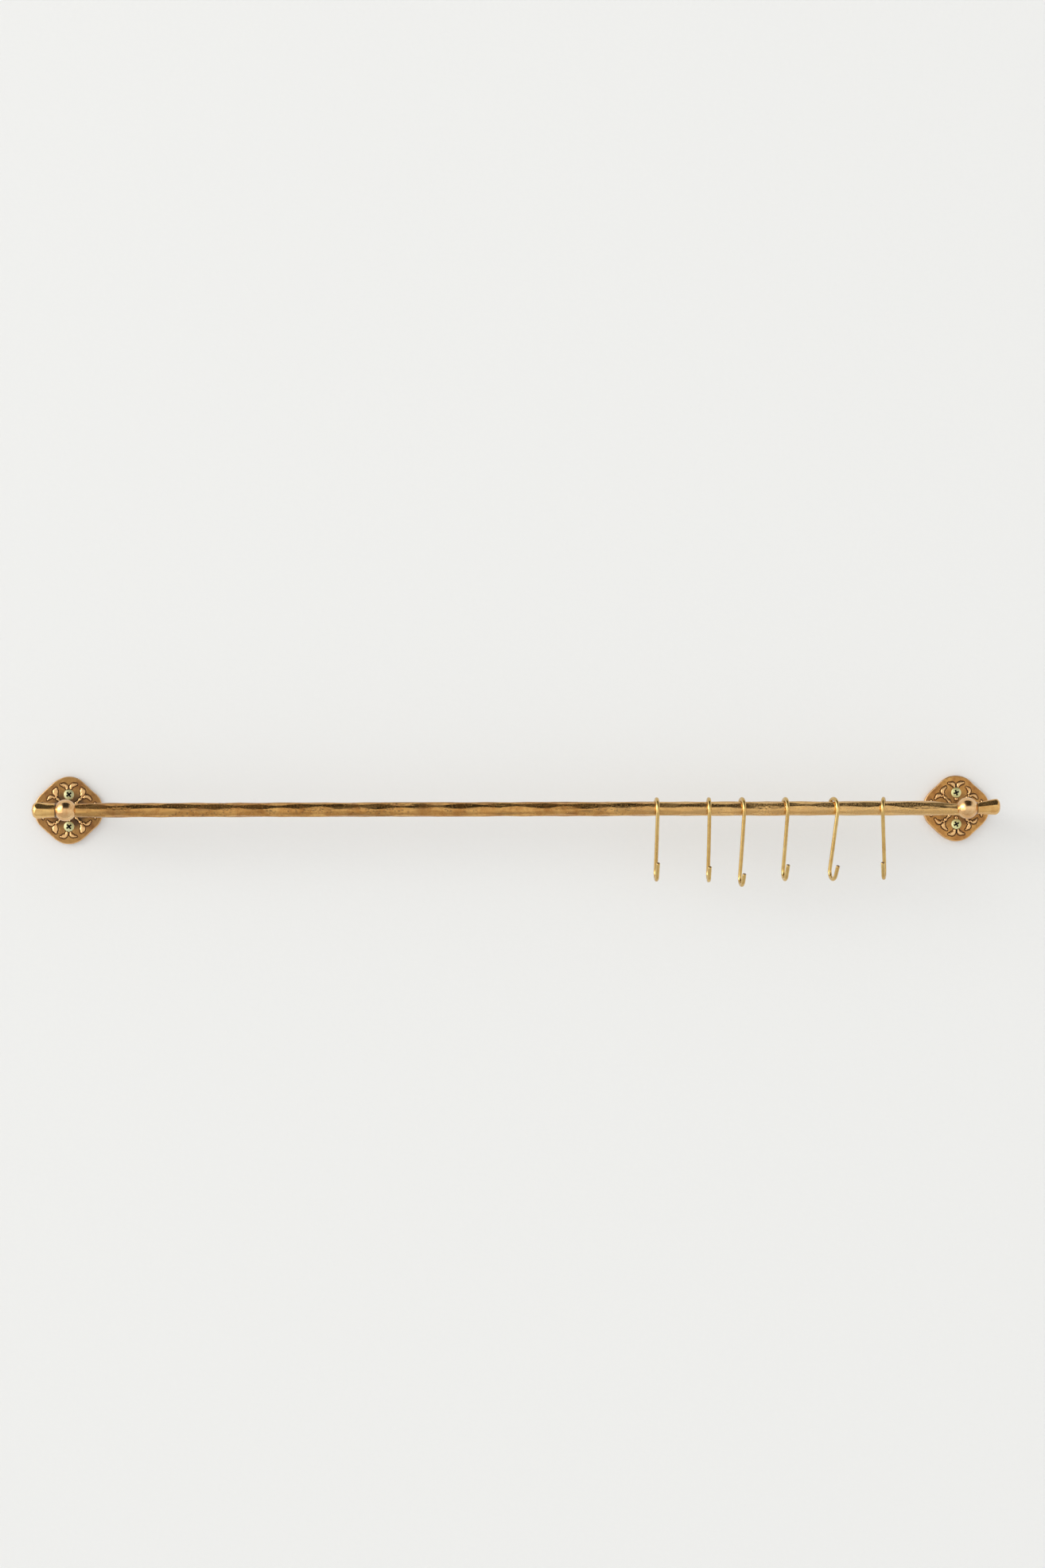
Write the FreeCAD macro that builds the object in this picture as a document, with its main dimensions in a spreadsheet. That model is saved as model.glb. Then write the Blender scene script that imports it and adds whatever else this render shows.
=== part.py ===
# Kitchen utensil rail: a hammered brass rod on two cast wall plates, with six S-hooks.
# Millimetres. X runs along the rail, Z is up, and the wall is the plane Y = 0 with the room at -Y.
# The origin is the centre of the four wall screws, on the wall.
import FreeCAD, Part
import math
import os
import Sketcher

Vector = FreeCAD.Vector
Placement = FreeCAD.Placement
Rotation = FreeCAD.Rotation

# Every size that can be set by itself, with what it is
SIZES = [
    ("post_spacing", 711.0, "between the two posts' axes"),
    ("stand_off", 45.0, "from the wall to the rail's axis"),
    ("rail_dia", 11.6, "rod over its high spots"),
    ("blow_depth", 0.5, "deepest hammer flat"),
    ("blow_least", 0.18, "shallowest hammer flat"),
    ("blow_pitch", 16.0, "between rows of hammer flats"),
    ("blow_drift", 4.8, "furthest that a flat lies off its row"),
    ("blow_swerve", 12.0, "furthest that it lies off its place round the rod, degrees"),
    ("blows_around", 6, "hammer flats in one row"),
    ("hammer_crown", 300.0, "radius of a hammer flat along the rod"),
    ("facet_length", 9.0, "between rings of facets"),
    ("facets_around", 12, "facets in one ring"),
    ("spigot_dia", 6.0, "threaded end of the rod"),
    ("spigot_grip", 9.0, "thread inside the finial"),
    ("spigot_room", 1.5, "finial's bore past the spigot's end"),
    ("thread_gap", 0.05, "between a thread and its bore, each side"),
    ("slip_gap", 0.1, "between a plain shank and its bore, each side"),
    ("ball_dia", 17.0, "ball round the spigot"),
    ("eye_width", 12.8, "across the ball's two flats"),
    ("post_dia", 10.0, "stand-off post"),
    ("post_edge", 0.6, "chamfer at the post's foot"),
    ("tap_depth", 15.0, "tapped bore in the post's foot"),
    ("finial_left_length", 19.4, "left finial from its seat to its tip"),
    ("finial_right_length", 19.9, "right finial from its seat to its tip"),
    ("finial_neck_dia", 9.6, "finial at its seat"),
    ("finial_waist", 7.0, "from the seat to where the flare starts"),
    ("finial_waist_dia", 10.4, "finial where the flare starts"),
    ("finial_end_dia", 13.0, "finial at its widest"),
    ("finial_dome", 2.6, "radius round the finial's blunt end"),
    ("finial_crown", 0.52, "swell of the blunt end's face"),
    ("finial_flats", 7, "hammer flats round a finial"),
    ("finial_flat_depth", 0.4, "depth of those flats"),
    ("plate_width", 55.5, "wall plate along X"),
    ("plate_height", 54.2, "wall plate along Z"),
    ("plate_corner", 18.0, "radius of the plate's four lobes"),
    ("plate_thick", 3.2, "wall plate without its relief"),
    ("plate_edge", 0.8, "rounding of the plate's front edge"),
    ("relief_height", 0.8, "ornament above the plate"),
    ("relief_draft", 12.0, "slope of the ornament's sides, degrees"),
    ("cardinal_reach", 21.6, "outer edge of the leaves on the upright and level arms"),
    ("diagonal_reach", 20.2, "outer edge of the leaves on the diagonal arms"),
    ("leaf_bend", 5.0, "radius of a leaf's outer edge"),
    ("leaf_tip", 2.3, "width of a leaf at its tip"),
    ("leaf_base", 1.3, "width of a leaf at its base"),
    ("leaf_parting", 0.35, "from an arm's axis to its leaf"),
    ("stem_width", 1.4, "stem of a diagonal arm"),
    ("stem_height", 0.65, "that stem above the plate"),
    ("bead_dia", 2.3, "beads on a diagonal stem"),
    ("bead_draft", 20.0, "slope of the beads' sides, degrees"),
    ("inner_bead", 8.2, "inner bead from the plate's centre"),
    ("outer_bead", 12.6, "outer bead from the plate's centre"),
    ("stub_start", 6.2, "inner end of the tab on an upright or level arm"),
    ("stub_end", 9.2, "outer end of that tab"),
    ("stub_width", 2.5, "width of that tab"),
    ("screw_spacing", 25.4, "between a plate's two wall screws"),
    ("wall_head_dia", 8.0, "wall screw head"),
    ("wall_head_dome", 0.8, "wall screw head above its rim"),
    ("wall_shank_dia", 3.7, "wall screw in the plate"),
    ("wall_thread_dia", 4.2, "wall screw in the wall"),
    ("wall_thread_length", 28.0, "straight thread in the wall"),
    ("wall_tip_length", 5.0, "screw's point"),
    ("wall_tip_dia", 0.8, "blunt end of that point"),
    ("post_head_dia", 8.6, "post screw head"),
    ("post_screw_dia", 5.0, "post screw"),
    ("post_screw_length", 12.4, "post screw inside the post"),
    ("post_screw_edge", 0.6, "chamfer at its end"),
    ("head_rim", 0.25, "straight edge of a countersunk head"),
    ("head_sink", 0.1, "post screw's head below the plate's back"),
    ("slot_width", 1.2, "arm of the cross recess"),
    ("slot_span", 4.8, "cross recess from end to end"),
    ("slot_depth", 1.7, "cross recess below the head's rim"),
    ("slot_draft", 6.0, "slope of the recess's sides, degrees"),
    ("wire_dia", 3.1, "hook wire"),
    ("wire_edge", 0.35, "bevel at the wire's cut ends"),
    ("loop_clearance", 0.8, "hook's upper loop over the rod's radius"),
    ("rest_gap", 0.3, "rod's high spots to the hook that hangs there"),
    ("loop_back_angle", 45.0, "upper loop past its widest, behind the rod"),
    ("curl_inner_dia", 9.2, "inside of the hook's lower curl"),
    ("curl_turn", 168.0, "bend of the lower curl, degrees"),
]

# Six hooks from left to right: pitch to the next hook, or from the last to the right post;
# straight shank; straight lip; how far the lower end is turned towards the right post
HOOKS = [
    (41.4, 47.2, 11.9, 0.5),
    (26.4, 48.0, 9.1, -2.0),
    (34.6, 51.8, 6.4, 6.5),
    (38.5, 47.3, 9.9, 6.0),
    (40.0, 47.3, 8.8, 15.5),
    (66.9, 46.5, 10.9, -14.0),
]

# The two kinds of screw, from the head's rim to the point
WALL_SCREW = {
    "head": "sizes.wall_head_dia / 2",
    "dome": "sizes.wall_head_dome",
    "shank": "sizes.wall_shank_dia / 2",
    "thread": "sizes.wall_thread_dia / 2",
    "threaded": "sizes.wall_thread_length",
    "tip": "sizes.wall_tip_length",
    "point": "sizes.wall_tip_dia / 2",
}
POST_SCREW = {
    "head": "sizes.post_head_dia / 2",
    "dome": "0",
    "shank": "sizes.post_screw_dia / 2",
    "thread": "sizes.post_screw_dia / 2",
    "threaded": "sizes.post_screw_length",
    "tip": "sizes.post_screw_edge",
    "point": "sizes.post_screw_dia / 2 - sizes.post_screw_edge",
}

# A cutting shape starts OUTSIDE the metal and is OVERSIZE times what it has to clear
OUTSIDE = 0.1
OVERSIZE = 1.2
TOLERANCE = 1e-6

# Numbers that scatter the hammer flats: down, along and round the rod
ROW_SPREAD, PLACE_SPREAD, WHOLE_SPREAD = 12.9898, 78.233, 43758.5453
DOWN, ALONG, ROUND = 0.3, 1.7, 2.9

doc = FreeCAD.newDocument("utensil_rail")
sizes = doc.addObject("Spreadsheet::Sheet", "sizes")


def fill_sheet():
    """Writes each size in its own row: name, number, meaning."""
    rows = list(SIZES)
    for number, (pitch, shank, lip, turn) in enumerate(HOOKS, 1):
        rows.append((f"hook_{number}_pitch", pitch, "to the next hook, or the right post"))
        rows.append((f"hook_{number}_shank", shank, "straight shank"))
        rows.append((f"hook_{number}_lip", lip, "straight end after the lower curl"))
        rows.append((f"hook_{number}_turn", turn, "lower end towards the right post, degrees"))
    for row, (name, number, meaning) in enumerate(rows, 1):
        sizes.set(f"A{row}", name)
        sizes.set(f"B{row}", str(number))
        sizes.setAlias(f"B{row}", name)
        sizes.set(f"C{row}", meaning)
    doc.recompute()


def size(expression):
    """The number that an expression in the sheet's names gives."""
    return float(sizes.evalExpression(str(expression)))


def bind(thing, prop, expression):
    thing.setExpression(prop, str(expression))


def new_body(name):
    body = doc.addObject("PartDesign::Body", name)
    body.Label = name
    return body


def origin_part(body, role):
    return next(part for part in body.Origin.OriginFeatures if part.Role == role)


def new_sketch(body, name, plane, lift="0", turn="0"):
    """A sketch on one of the body's own planes, lifted along its normal and turned about it."""
    sketch = body.newObject("Sketcher::SketchObject", name)
    sketch.AttachmentSupport = (origin_part(body, plane), [""])
    sketch.MapMode = "FlatFace"
    sketch.AttachmentOffset = Placement(Vector(), Rotation(Vector(0, 0, 1), size(turn)))
    bind(sketch, "AttachmentOffset.Base.z", lift)
    return sketch


def pin(sketch, element, point, where):
    """Holds one point of an element at two expressions, from the sketch's origin."""
    for kind, expression in zip(("DistanceX", "DistanceY"), where):
        index = sketch.addConstraint(
            Sketcher.Constraint(kind, -1, 1, element, point, size(expression))
        )
        bind(sketch, f"Constraints[{index}]", expression)


def middle_of_arc(start, end, radius, side):
    """A point on the shorter arc; side is +1 counterclockwise, -1 clockwise."""
    chord = end - start
    sagitta = radius - math.sqrt(max(radius**2 - chord.Length**2 / 4, 0))
    across = Vector(chord.y, -chord.x, 0).normalize()
    return (start + end) / 2 + across * sagitta * side


def draw(sketch, start, steps, closed=True):
    """Draws a chain. A step is (x, y) for a line, or (x, y, radius, side) for an arc."""
    here, last = start, None
    for step in steps:
        there = step[:2]
        a = Vector(size(here[0]), size(here[1]), 0)
        b = Vector(size(there[0]), size(there[1]), 0)
        if len(step) == 2:
            element = sketch.addGeometry(Part.LineSegment(a, b))
            ends = (1, 2)
        else:
            radius, side = step[2:]
            middle = middle_of_arc(a, b, size(radius), side)
            element = sketch.addGeometry(Part.Arc(a, middle, b))
            ends = (1, 2) if side > 0 else (2, 1)
            index = sketch.addConstraint(Sketcher.Constraint("Radius", element, size(radius)))
            bind(sketch, f"Constraints[{index}]", radius)
        if last is None:
            first = (element, ends[0])
            pin(sketch, *first, start)
        else:
            sketch.addConstraint(Sketcher.Constraint("Coincident", *last, element, ends[0]))
        last = (element, ends[1])
        if closed and step is steps[-1]:
            sketch.addConstraint(Sketcher.Constraint("Coincident", *last, *first))
        else:
            pin(sketch, *last, there)
        here = there


def circle(sketch, centre, diameter):
    spot = Vector(size(centre[0]), size(centre[1]), 0)
    element = sketch.addGeometry(Part.Circle(spot, Vector(0, 0, 1), size(diameter) / 2))
    index = sketch.addConstraint(Sketcher.Constraint("Diameter", element, size(diameter)))
    bind(sketch, f"Constraints[{index}]", diameter)
    pin(sketch, element, 3, centre)


def pad(body, sketch, length, draft="0"):
    """Raises a sketch into the body, narrower towards its top by the draft."""
    feature = body.newObject("PartDesign::Pad", sketch.Name + "_pad")
    feature.Profile = sketch
    bind(feature, "TaperAngle", f"-({draft})")
    bind(feature, "Length", length)
    doc.recompute()
    return feature


def pocket(body, sketch, length, flipped=False, both_ways=False, draft="0"):
    """Cuts a sketch into the body, narrower towards its bottom by the draft."""
    doc.recompute()
    before = body.Shape.Volume
    feature = body.newObject("PartDesign::Pocket", sketch.Name + "_cut")
    feature.Profile = sketch
    feature.Reversed = flipped
    feature.Midplane = both_ways
    bind(feature, "TaperAngle", f"-({draft})")
    bind(feature, "Length", length)
    doc.recompute()
    assert body.Shape.Volume < before, f"{feature.Name} cuts nothing"
    return feature


def revolve(body, sketch, axis):
    feature = body.newObject("PartDesign::Revolution", sketch.Name + "_turned")
    feature.Profile = sketch
    feature.ReferenceAxis = (sketch, [axis])
    feature.Angle = 360
    doc.recompute()


def spread_round(body, feature, axis, count):
    """Repeats a feature evenly round one of the body's axes."""
    pattern = body.newObject("PartDesign::PolarPattern", feature.Name + "_round")
    pattern.Originals = [feature]
    pattern.Axis = (origin_part(body, axis), [""])
    pattern.Angle = 360
    bind(pattern, "Occurrences", count)
    body.Tip = pattern
    doc.recompute()


def edges_where(feature, test):
    """Names of the feature's edges whose points all pass the test."""
    names = []
    for number, edge in enumerate(feature.Shape.Edges, 1):
        if all(test(point) for point in edge.discretize(5)):
            names.append(f"Edge{number}")
    return names


def plate_outline():
    """Four lobes on the plate's axes, joined by straight slanting sides that touch them."""
    lobe = "sizes.plate_corner"
    to_side = "(sizes.plate_width / 2 - sizes.plate_corner)"
    to_top = "(sizes.plate_height / 2 - sizes.plate_corner)"
    slant = f"sqrt({to_side} ^ 2 + {to_top} ^ 2)"
    along = f"({lobe} * {to_top} / {slant})"
    up = f"({lobe} * {to_side} / {slant})"
    right = [(f"{to_side} + {along}", f"-{up}"), (f"{to_side} + {along}", up)]
    top = [(along, f"{to_top} + {up}"), (f"-{along}", f"{to_top} + {up}")]
    left = [(f"-{to_side} - {along}", up), (f"-{to_side} - {along}", f"-{up}")]
    bottom = [(f"-{along}", f"-{to_top} - {up}"), (along, f"-{to_top} - {up}")]
    steps = []
    for lobe_start, lobe_end in (right, top, left, bottom):
        steps += [lobe_start, (*lobe_end, lobe, 1)]
    return right[0], steps[1:] + [right[0]]


def leaf_outline(reach, side):
    """A curled leaf beside an upright arm; side is +1 or -1 for right or left of it."""
    base = f"({reach} - sizes.leaf_bend)"
    inner = f"{side} * sizes.leaf_parting"
    outer = f"{side} * (sizes.leaf_parting + sizes.leaf_base)"
    bend = f"{side} * (sizes.leaf_parting + sizes.leaf_bend)"
    tip = f"{side} * (sizes.leaf_parting + sizes.leaf_bend + sizes.leaf_tip / 2)"
    hollow = "sizes.leaf_bend - (sizes.leaf_base + sizes.leaf_tip) / 2"
    start = (inner, base)
    steps = [
        (bend, reach, "sizes.leaf_bend", -side),
        (tip, f"{reach} - sizes.leaf_tip / 2", "sizes.leaf_tip / 2", -side),
        (bend, f"{reach} - sizes.leaf_tip", "sizes.leaf_tip / 2", -side),
        (outer, base, hollow, side),
        start,
    ]
    return start, steps


def wall_plate(name, x):
    """Cast plate: lobed outline, eight-armed relief, two countersunk holes and one from behind."""
    body = new_body(name)
    outline = new_sketch(body, name + "_outline", "XZ_Plane")
    draw(outline, *plate_outline())
    blank = pad(body, outline, "sizes.plate_thick")

    front = -size("sizes.plate_thick")
    rim = body.newObject("PartDesign::Fillet", name + "_rim")
    rim.Base = (blank, edges_where(blank, lambda point: abs(point.y - front) < TOLERANCE))
    bind(rim, "Radius", "sizes.plate_edge")
    doc.recompute()

    face = "sizes.plate_thick"
    for kind, reach, turn in (
        ("cardinal", "sizes.cardinal_reach", 0),
        ("diagonal", "sizes.diagonal_reach", 45),
    ):
        leaves = new_sketch(body, f"{name}_{kind}_leaves", "XZ_Plane", face, turn)
        for side in (1, -1):
            draw(leaves, *leaf_outline(reach, side))
        raised = pad(body, leaves, "sizes.relief_height", "sizes.relief_draft")
        spread_round(body, raised, "Y_Axis", 4)

    stem = new_sketch(body, name + "_stem", "XZ_Plane", face, 45)
    half = "sizes.stem_width / 2"
    foot = "sizes.post_dia / 2 + sizes.stem_width"
    leaf_foot = "sizes.diagonal_reach - sizes.leaf_bend"
    corners = [(f"-{half}", foot), (half, foot), (half, leaf_foot), (f"-{half}", leaf_foot)]
    draw(stem, corners[0], corners[1:] + corners[:1])
    raised = pad(body, stem, "sizes.stem_height", "sizes.relief_draft")
    spread_round(body, raised, "Y_Axis", 4)

    beads = new_sketch(body, name + "_beads", "XZ_Plane", face, 45)
    circle(beads, ("0", "sizes.inner_bead"), "sizes.bead_dia")
    circle(beads, ("0", "sizes.outer_bead"), "sizes.bead_dia")
    raised = pad(body, beads, "sizes.relief_height", "sizes.bead_draft")
    spread_round(body, raised, "Y_Axis", 4)

    tab = new_sketch(body, name + "_tab", "XZ_Plane", face)
    half = "sizes.stub_width / 2"
    start = (f"-{half}", "sizes.stub_end")
    steps = [
        (f"-{half}", f"sizes.stub_start + {half}"),
        ("0", "sizes.stub_start", half, 1),
        (half, f"sizes.stub_start + {half}", half, 1),
        (half, "sizes.stub_end"),
        start,
    ]
    draw(tab, start, steps)
    raised = pad(body, tab, "sizes.relief_height", "sizes.relief_draft")
    spread_round(body, raised, "Y_Axis", 4)

    spots = new_sketch(body, name + "_screw_spots", "XZ_Plane", face)
    for side in ("", "-"):
        circle(spots, ("0", f"{side}sizes.screw_spacing / 2"), "sizes.wall_thread_dia")
    countersunk_hole(body, spots, "wall_thread_dia", "wall_head_dia")

    back = new_sketch(body, name + "_post_spot", "XZ_Plane")
    circle(back, ("0", "0"), "sizes.post_screw_dia")
    countersunk_hole(body, back, "post_screw_dia", "post_head_dia", "sizes.head_sink", from_behind=True)
    bind(body, "Placement.Base.x", x)
    return body


def countersunk_hole(body, spots, bore, head, sink="0", from_behind=False):
    """A drilled hole through the plate, widened to a 90 degree cone for a screw's head."""
    doc.recompute()
    before = body.Shape.Volume
    hole = body.newObject("PartDesign::Hole", spots.Name + "_hole")
    hole.Profile = spots
    hole.Reversed = from_behind
    hole.DepthType = "ThroughAll"
    hole.Threaded = False
    hole.HoleCutType = "Countersink"
    hole.HoleCutCustomValues = True
    hole.HoleCutCountersinkAngle = 90
    bind(hole, "Diameter", f"sizes.{bore} + 4 * sizes.slip_gap")
    bind(hole, "HoleCutDiameter", f"sizes.{head} + 2 * (sizes.slip_gap + sizes.head_rim + {sink})")
    doc.recompute()
    assert body.Shape.Volume < before, f"{hole.Name} cuts nothing"


def ball_post(name, x):
    """Ball and post turned in one, cross-bored for the rod and tapped in its foot."""
    body = new_body(name)
    profile = new_sketch(body, name + "_profile", "XY_Plane")
    post = "sizes.post_dia / 2"
    ball = "sizes.ball_dia / 2"
    foot = "-sizes.plate_thick"
    neck = f"-sizes.stand_off + sqrt(({ball}) ^ 2 - ({post}) ^ 2)"
    start = ("0", foot)
    steps = [
        (f"{post} - sizes.post_edge", foot),
        (post, f"{foot} - sizes.post_edge"),
        (post, neck),
        (ball, "-sizes.stand_off", ball, -1),
        ("0", f"-sizes.stand_off - {ball}", ball, -1),
        start,
    ]
    draw(profile, start, steps)
    revolve(body, profile, "V_Axis")

    cheek = new_sketch(body, name + "_cheek", "YZ_Plane", "sizes.eye_width / 2")
    circle(cheek, ("-sizes.stand_off", "0"), f"sizes.ball_dia * {OVERSIZE}")
    pocket(body, cheek, "sizes.ball_dia", flipped=True)
    other = new_sketch(body, name + "_other_cheek", "YZ_Plane", "-sizes.eye_width / 2")
    circle(other, ("-sizes.stand_off", "0"), f"sizes.ball_dia * {OVERSIZE}")
    pocket(body, other, "sizes.ball_dia")
    eye = new_sketch(body, name + "_eye", "YZ_Plane")
    circle(eye, ("-sizes.stand_off", "0"), "sizes.spigot_dia + 2 * sizes.slip_gap")
    pocket(body, eye, f"sizes.ball_dia * {OVERSIZE}", both_ways=True)
    tap = new_sketch(body, name + "_tap", "XZ_Plane", "sizes.plate_thick")
    circle(tap, ("0", "0"), "sizes.post_screw_dia + 2 * sizes.thread_gap")
    pocket(body, tap, "sizes.tap_depth", flipped=True)
    bind(body, "Placement.Base.x", x)
    doc.recompute()
    return body


def finial(name, length, x, turned):
    """Flared end piece, bored for the spigot, with hammer flats round it."""
    body = new_body(name)
    profile = new_sketch(body, name + "_profile", "XY_Plane")
    bore = "sizes.spigot_dia / 2 + sizes.thread_gap"
    neck = "sizes.finial_neck_dia / 2"
    end = "sizes.finial_end_dia / 2"
    depth = "sizes.spigot_grip + sizes.spigot_room"
    shoulder = f"{length} - sizes.finial_dome"
    face = f"({end} - sizes.finial_dome)"
    crown = "sizes.finial_crown"
    start = ("0", bore)
    steps = [
        ("0", neck),
        ("sizes.finial_waist", "sizes.finial_waist_dia / 2"),
        (shoulder, end),
        (length, face, "sizes.finial_dome", -1),
        (f"{length} + {crown}", "0", f"({face} ^ 2 + {crown} ^ 2) / (2 * {crown})", -1),
        (f"{depth} + {bore}", "0"),
        (depth, bore),
        start,
    ]
    draw(profile, start, steps)
    revolve(body, profile, "H_Axis")

    flat = new_sketch(body, name + "_flat", "XZ_Plane")
    high = f"{end} - sizes.finial_flat_depth"
    top = "sizes.finial_end_dia"
    start = ("sizes.finial_dome", neck)
    steps = [
        (shoulder, high),
        (f"{length} * {OVERSIZE}", f"{high} - sizes.finial_flat_depth"),
        (f"{length} * {OVERSIZE}", top),
        ("sizes.finial_dome", top),
        start,
    ]
    draw(flat, start, steps)
    cut = pocket(body, flat, f"sizes.finial_end_dia * {OVERSIZE}", both_ways=True)
    spread_round(body, cut, "X_Axis", "sizes.finial_flats")
    if turned:
        body.Placement = Placement(Vector(), Rotation(Vector(0, 0, 1), 180))
    bind(body, "Placement.Base.x", x)
    bind(body, "Placement.Base.y", "-sizes.stand_off")
    doc.recompute()
    return body


def scatter(row, place, salt):
    """A number from 0 to 1 that looks random but is the same each time."""
    wave = math.sin(row * ROW_SPREAD + place * PLACE_SPREAD + salt)
    return math.modf(abs(wave * WHOLE_SPREAD))[0]


def hammered_radius(x, angle, half_length):
    """Distance from the rod's axis to its surface: the lowest of the round bar and the nearby flats.

    A flat at (x0, angle0), sunk by d, lies at (R - d + (x - x0)^2 / (2 * crown)) / cos(angle - angle0).
    """
    radius = size("sizes.rail_dia") / 2
    pitch = size("sizes.blow_pitch")
    around = int(size("sizes.blows_around"))
    crown = size("sizes.hammer_crown")
    least, depth = size("sizes.blow_least"), size("sizes.blow_depth")
    drift, swerve = size("sizes.blow_drift"), math.radians(size("sizes.blow_swerve"))
    lowest = radius
    nearest = round((x + half_length) / pitch)
    for row in range(nearest - 2, nearest + 3):
        for place in range(around):
            sunk = least + (depth - least) * scatter(row, place, DOWN)
            blow_x = row * pitch - half_length + drift * (2 * scatter(row, place, ALONG) - 1)
            blow_angle = (place + row / 2) * math.tau / around
            blow_angle += swerve * (2 * scatter(row, place, ROUND) - 1)
            facing = math.cos(angle - blow_angle)
            if facing > 0:
                flat = (radius - sunk + (x - blow_x) ** 2 / (2 * crown)) / facing
                lowest = min(lowest, flat)
    return lowest


def hammered_bar(length):
    """The rod between its two seats, as a closed shell of flat facets."""
    rings = max(int(round(length / size("sizes.facet_length"))), 2)
    around = int(size("sizes.facets_around"))
    half = length / 2
    points = []
    for ring in range(rings + 1):
        x = -half + length * ring / rings
        points.append([])
        for place in range(around):
            angle = (place + ring % 2 / 2) * math.tau / around
            radius = hammered_radius(x, angle, half)
            points[-1].append(Vector(x, radius * math.cos(angle), radius * math.sin(angle)))
    faces = [Part.Face(Part.makePolygon(points[0] + points[0][:1]))]
    faces.append(Part.Face(Part.makePolygon(points[-1] + points[-1][:1])))
    for ring in range(rings):
        near, far = points[ring], points[ring + 1]
        for place in range(around):
            after = (place + 1) % around
            if ring % 2:
                corners = [(near[place], near[after], far[after]), (near[place], far[after], far[place])]
            else:
                corners = [(near[place], near[after], far[place]), (near[after], far[after], far[place])]
            for corner in corners:
                faces.append(Part.Face(Part.makePolygon([*corner, corner[0]])))
    solid = Part.makeSolid(Part.makeShell(faces))
    if solid.Volume < 0:
        solid.reverse()
    return solid


def rail_bar():
    """The hammered rod with a plain threaded spigot on each end."""
    bar = doc.addObject("Part::Feature", "hammered_bar")
    bar.Shape = hammered_bar(size("sizes.post_spacing - sizes.eye_width"))
    spigot = doc.addObject("Part::Cylinder", "spigots")
    bind(spigot, "Radius", "sizes.spigot_dia / 2")
    bind(spigot, "Height", "sizes.post_spacing + sizes.eye_width + 2 * sizes.spigot_grip")
    spigot.Placement = Placement(Vector(), Rotation(Vector(0, 1, 0), 90))
    bind(spigot, "Placement.Base.x", "-(sizes.post_spacing + sizes.eye_width) / 2 - sizes.spigot_grip")
    whole = doc.addObject("Part::Fuse", "rail_bar")
    whole.Base = bar
    whole.Tool = spigot
    whole.Label = "rail_bar"
    bind(whole, "Placement.Base.y", "-sizes.stand_off")
    doc.recompute()
    return whole


def screw(name, kind, x, y, z, from_behind=False):
    """Countersunk screw along +Y from its head's rim, with a cross recess."""
    body = new_body(name)
    profile = new_sketch(body, name + "_profile", "XY_Plane")
    radius, dome, shank, thread = kind["head"], kind["dome"], kind["shank"], kind["thread"]
    grip = "sizes.plate_thick"
    tip_start = f"{grip} + {kind['threaded']}"
    end = f"{tip_start} + {kind['tip']}"
    start = ("0", f"-{dome}")
    steps = [(radius, "0")]
    if size(dome) > 0:
        steps = [(radius, "0", f"(({radius}) ^ 2 + {dome} ^ 2) / (2 * {dome})", 1)]
    steps += [(radius, "sizes.head_rim"), (shank, f"sizes.head_rim + {radius} - {shank}"), (shank, grip)]
    if abs(size(thread) - size(shank)) > TOLERANCE:
        steps += [(thread, grip)]
    steps += [(thread, tip_start), (kind["point"], end), ("0", end), start]
    draw(profile, start, steps)
    revolve(body, profile, "V_Axis")

    cross = new_sketch(body, name + "_cross", "XZ_Plane", f"{dome} + {OUTSIDE}")
    wide, far = "sizes.slot_width / 2", "sizes.slot_span / 2"
    corners = []
    for turn in range(4):
        for along, across in ((far, f"-{wide}"), (far, wide), (wide, wide)):
            x_side, y_side = (along, across), (f"-({across})", along)
            corner = (x_side, y_side, (f"-({along})", f"-({across})"), (across, f"-({along})"))
            corners.append(corner[turn])
    draw(cross, corners[0], corners[1:] + corners[:1])
    pocket(body, cross, f"{dome} + {OUTSIDE} + sizes.slot_depth", draft="sizes.slot_draft")
    if from_behind:
        body.Placement = Placement(Vector(), Rotation(Vector(0, 0, 1), 180))
    for axis, place in zip("xyz", (x, y, z)):
        bind(body, f"Placement.Base.{axis}", place)
    return body


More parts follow.
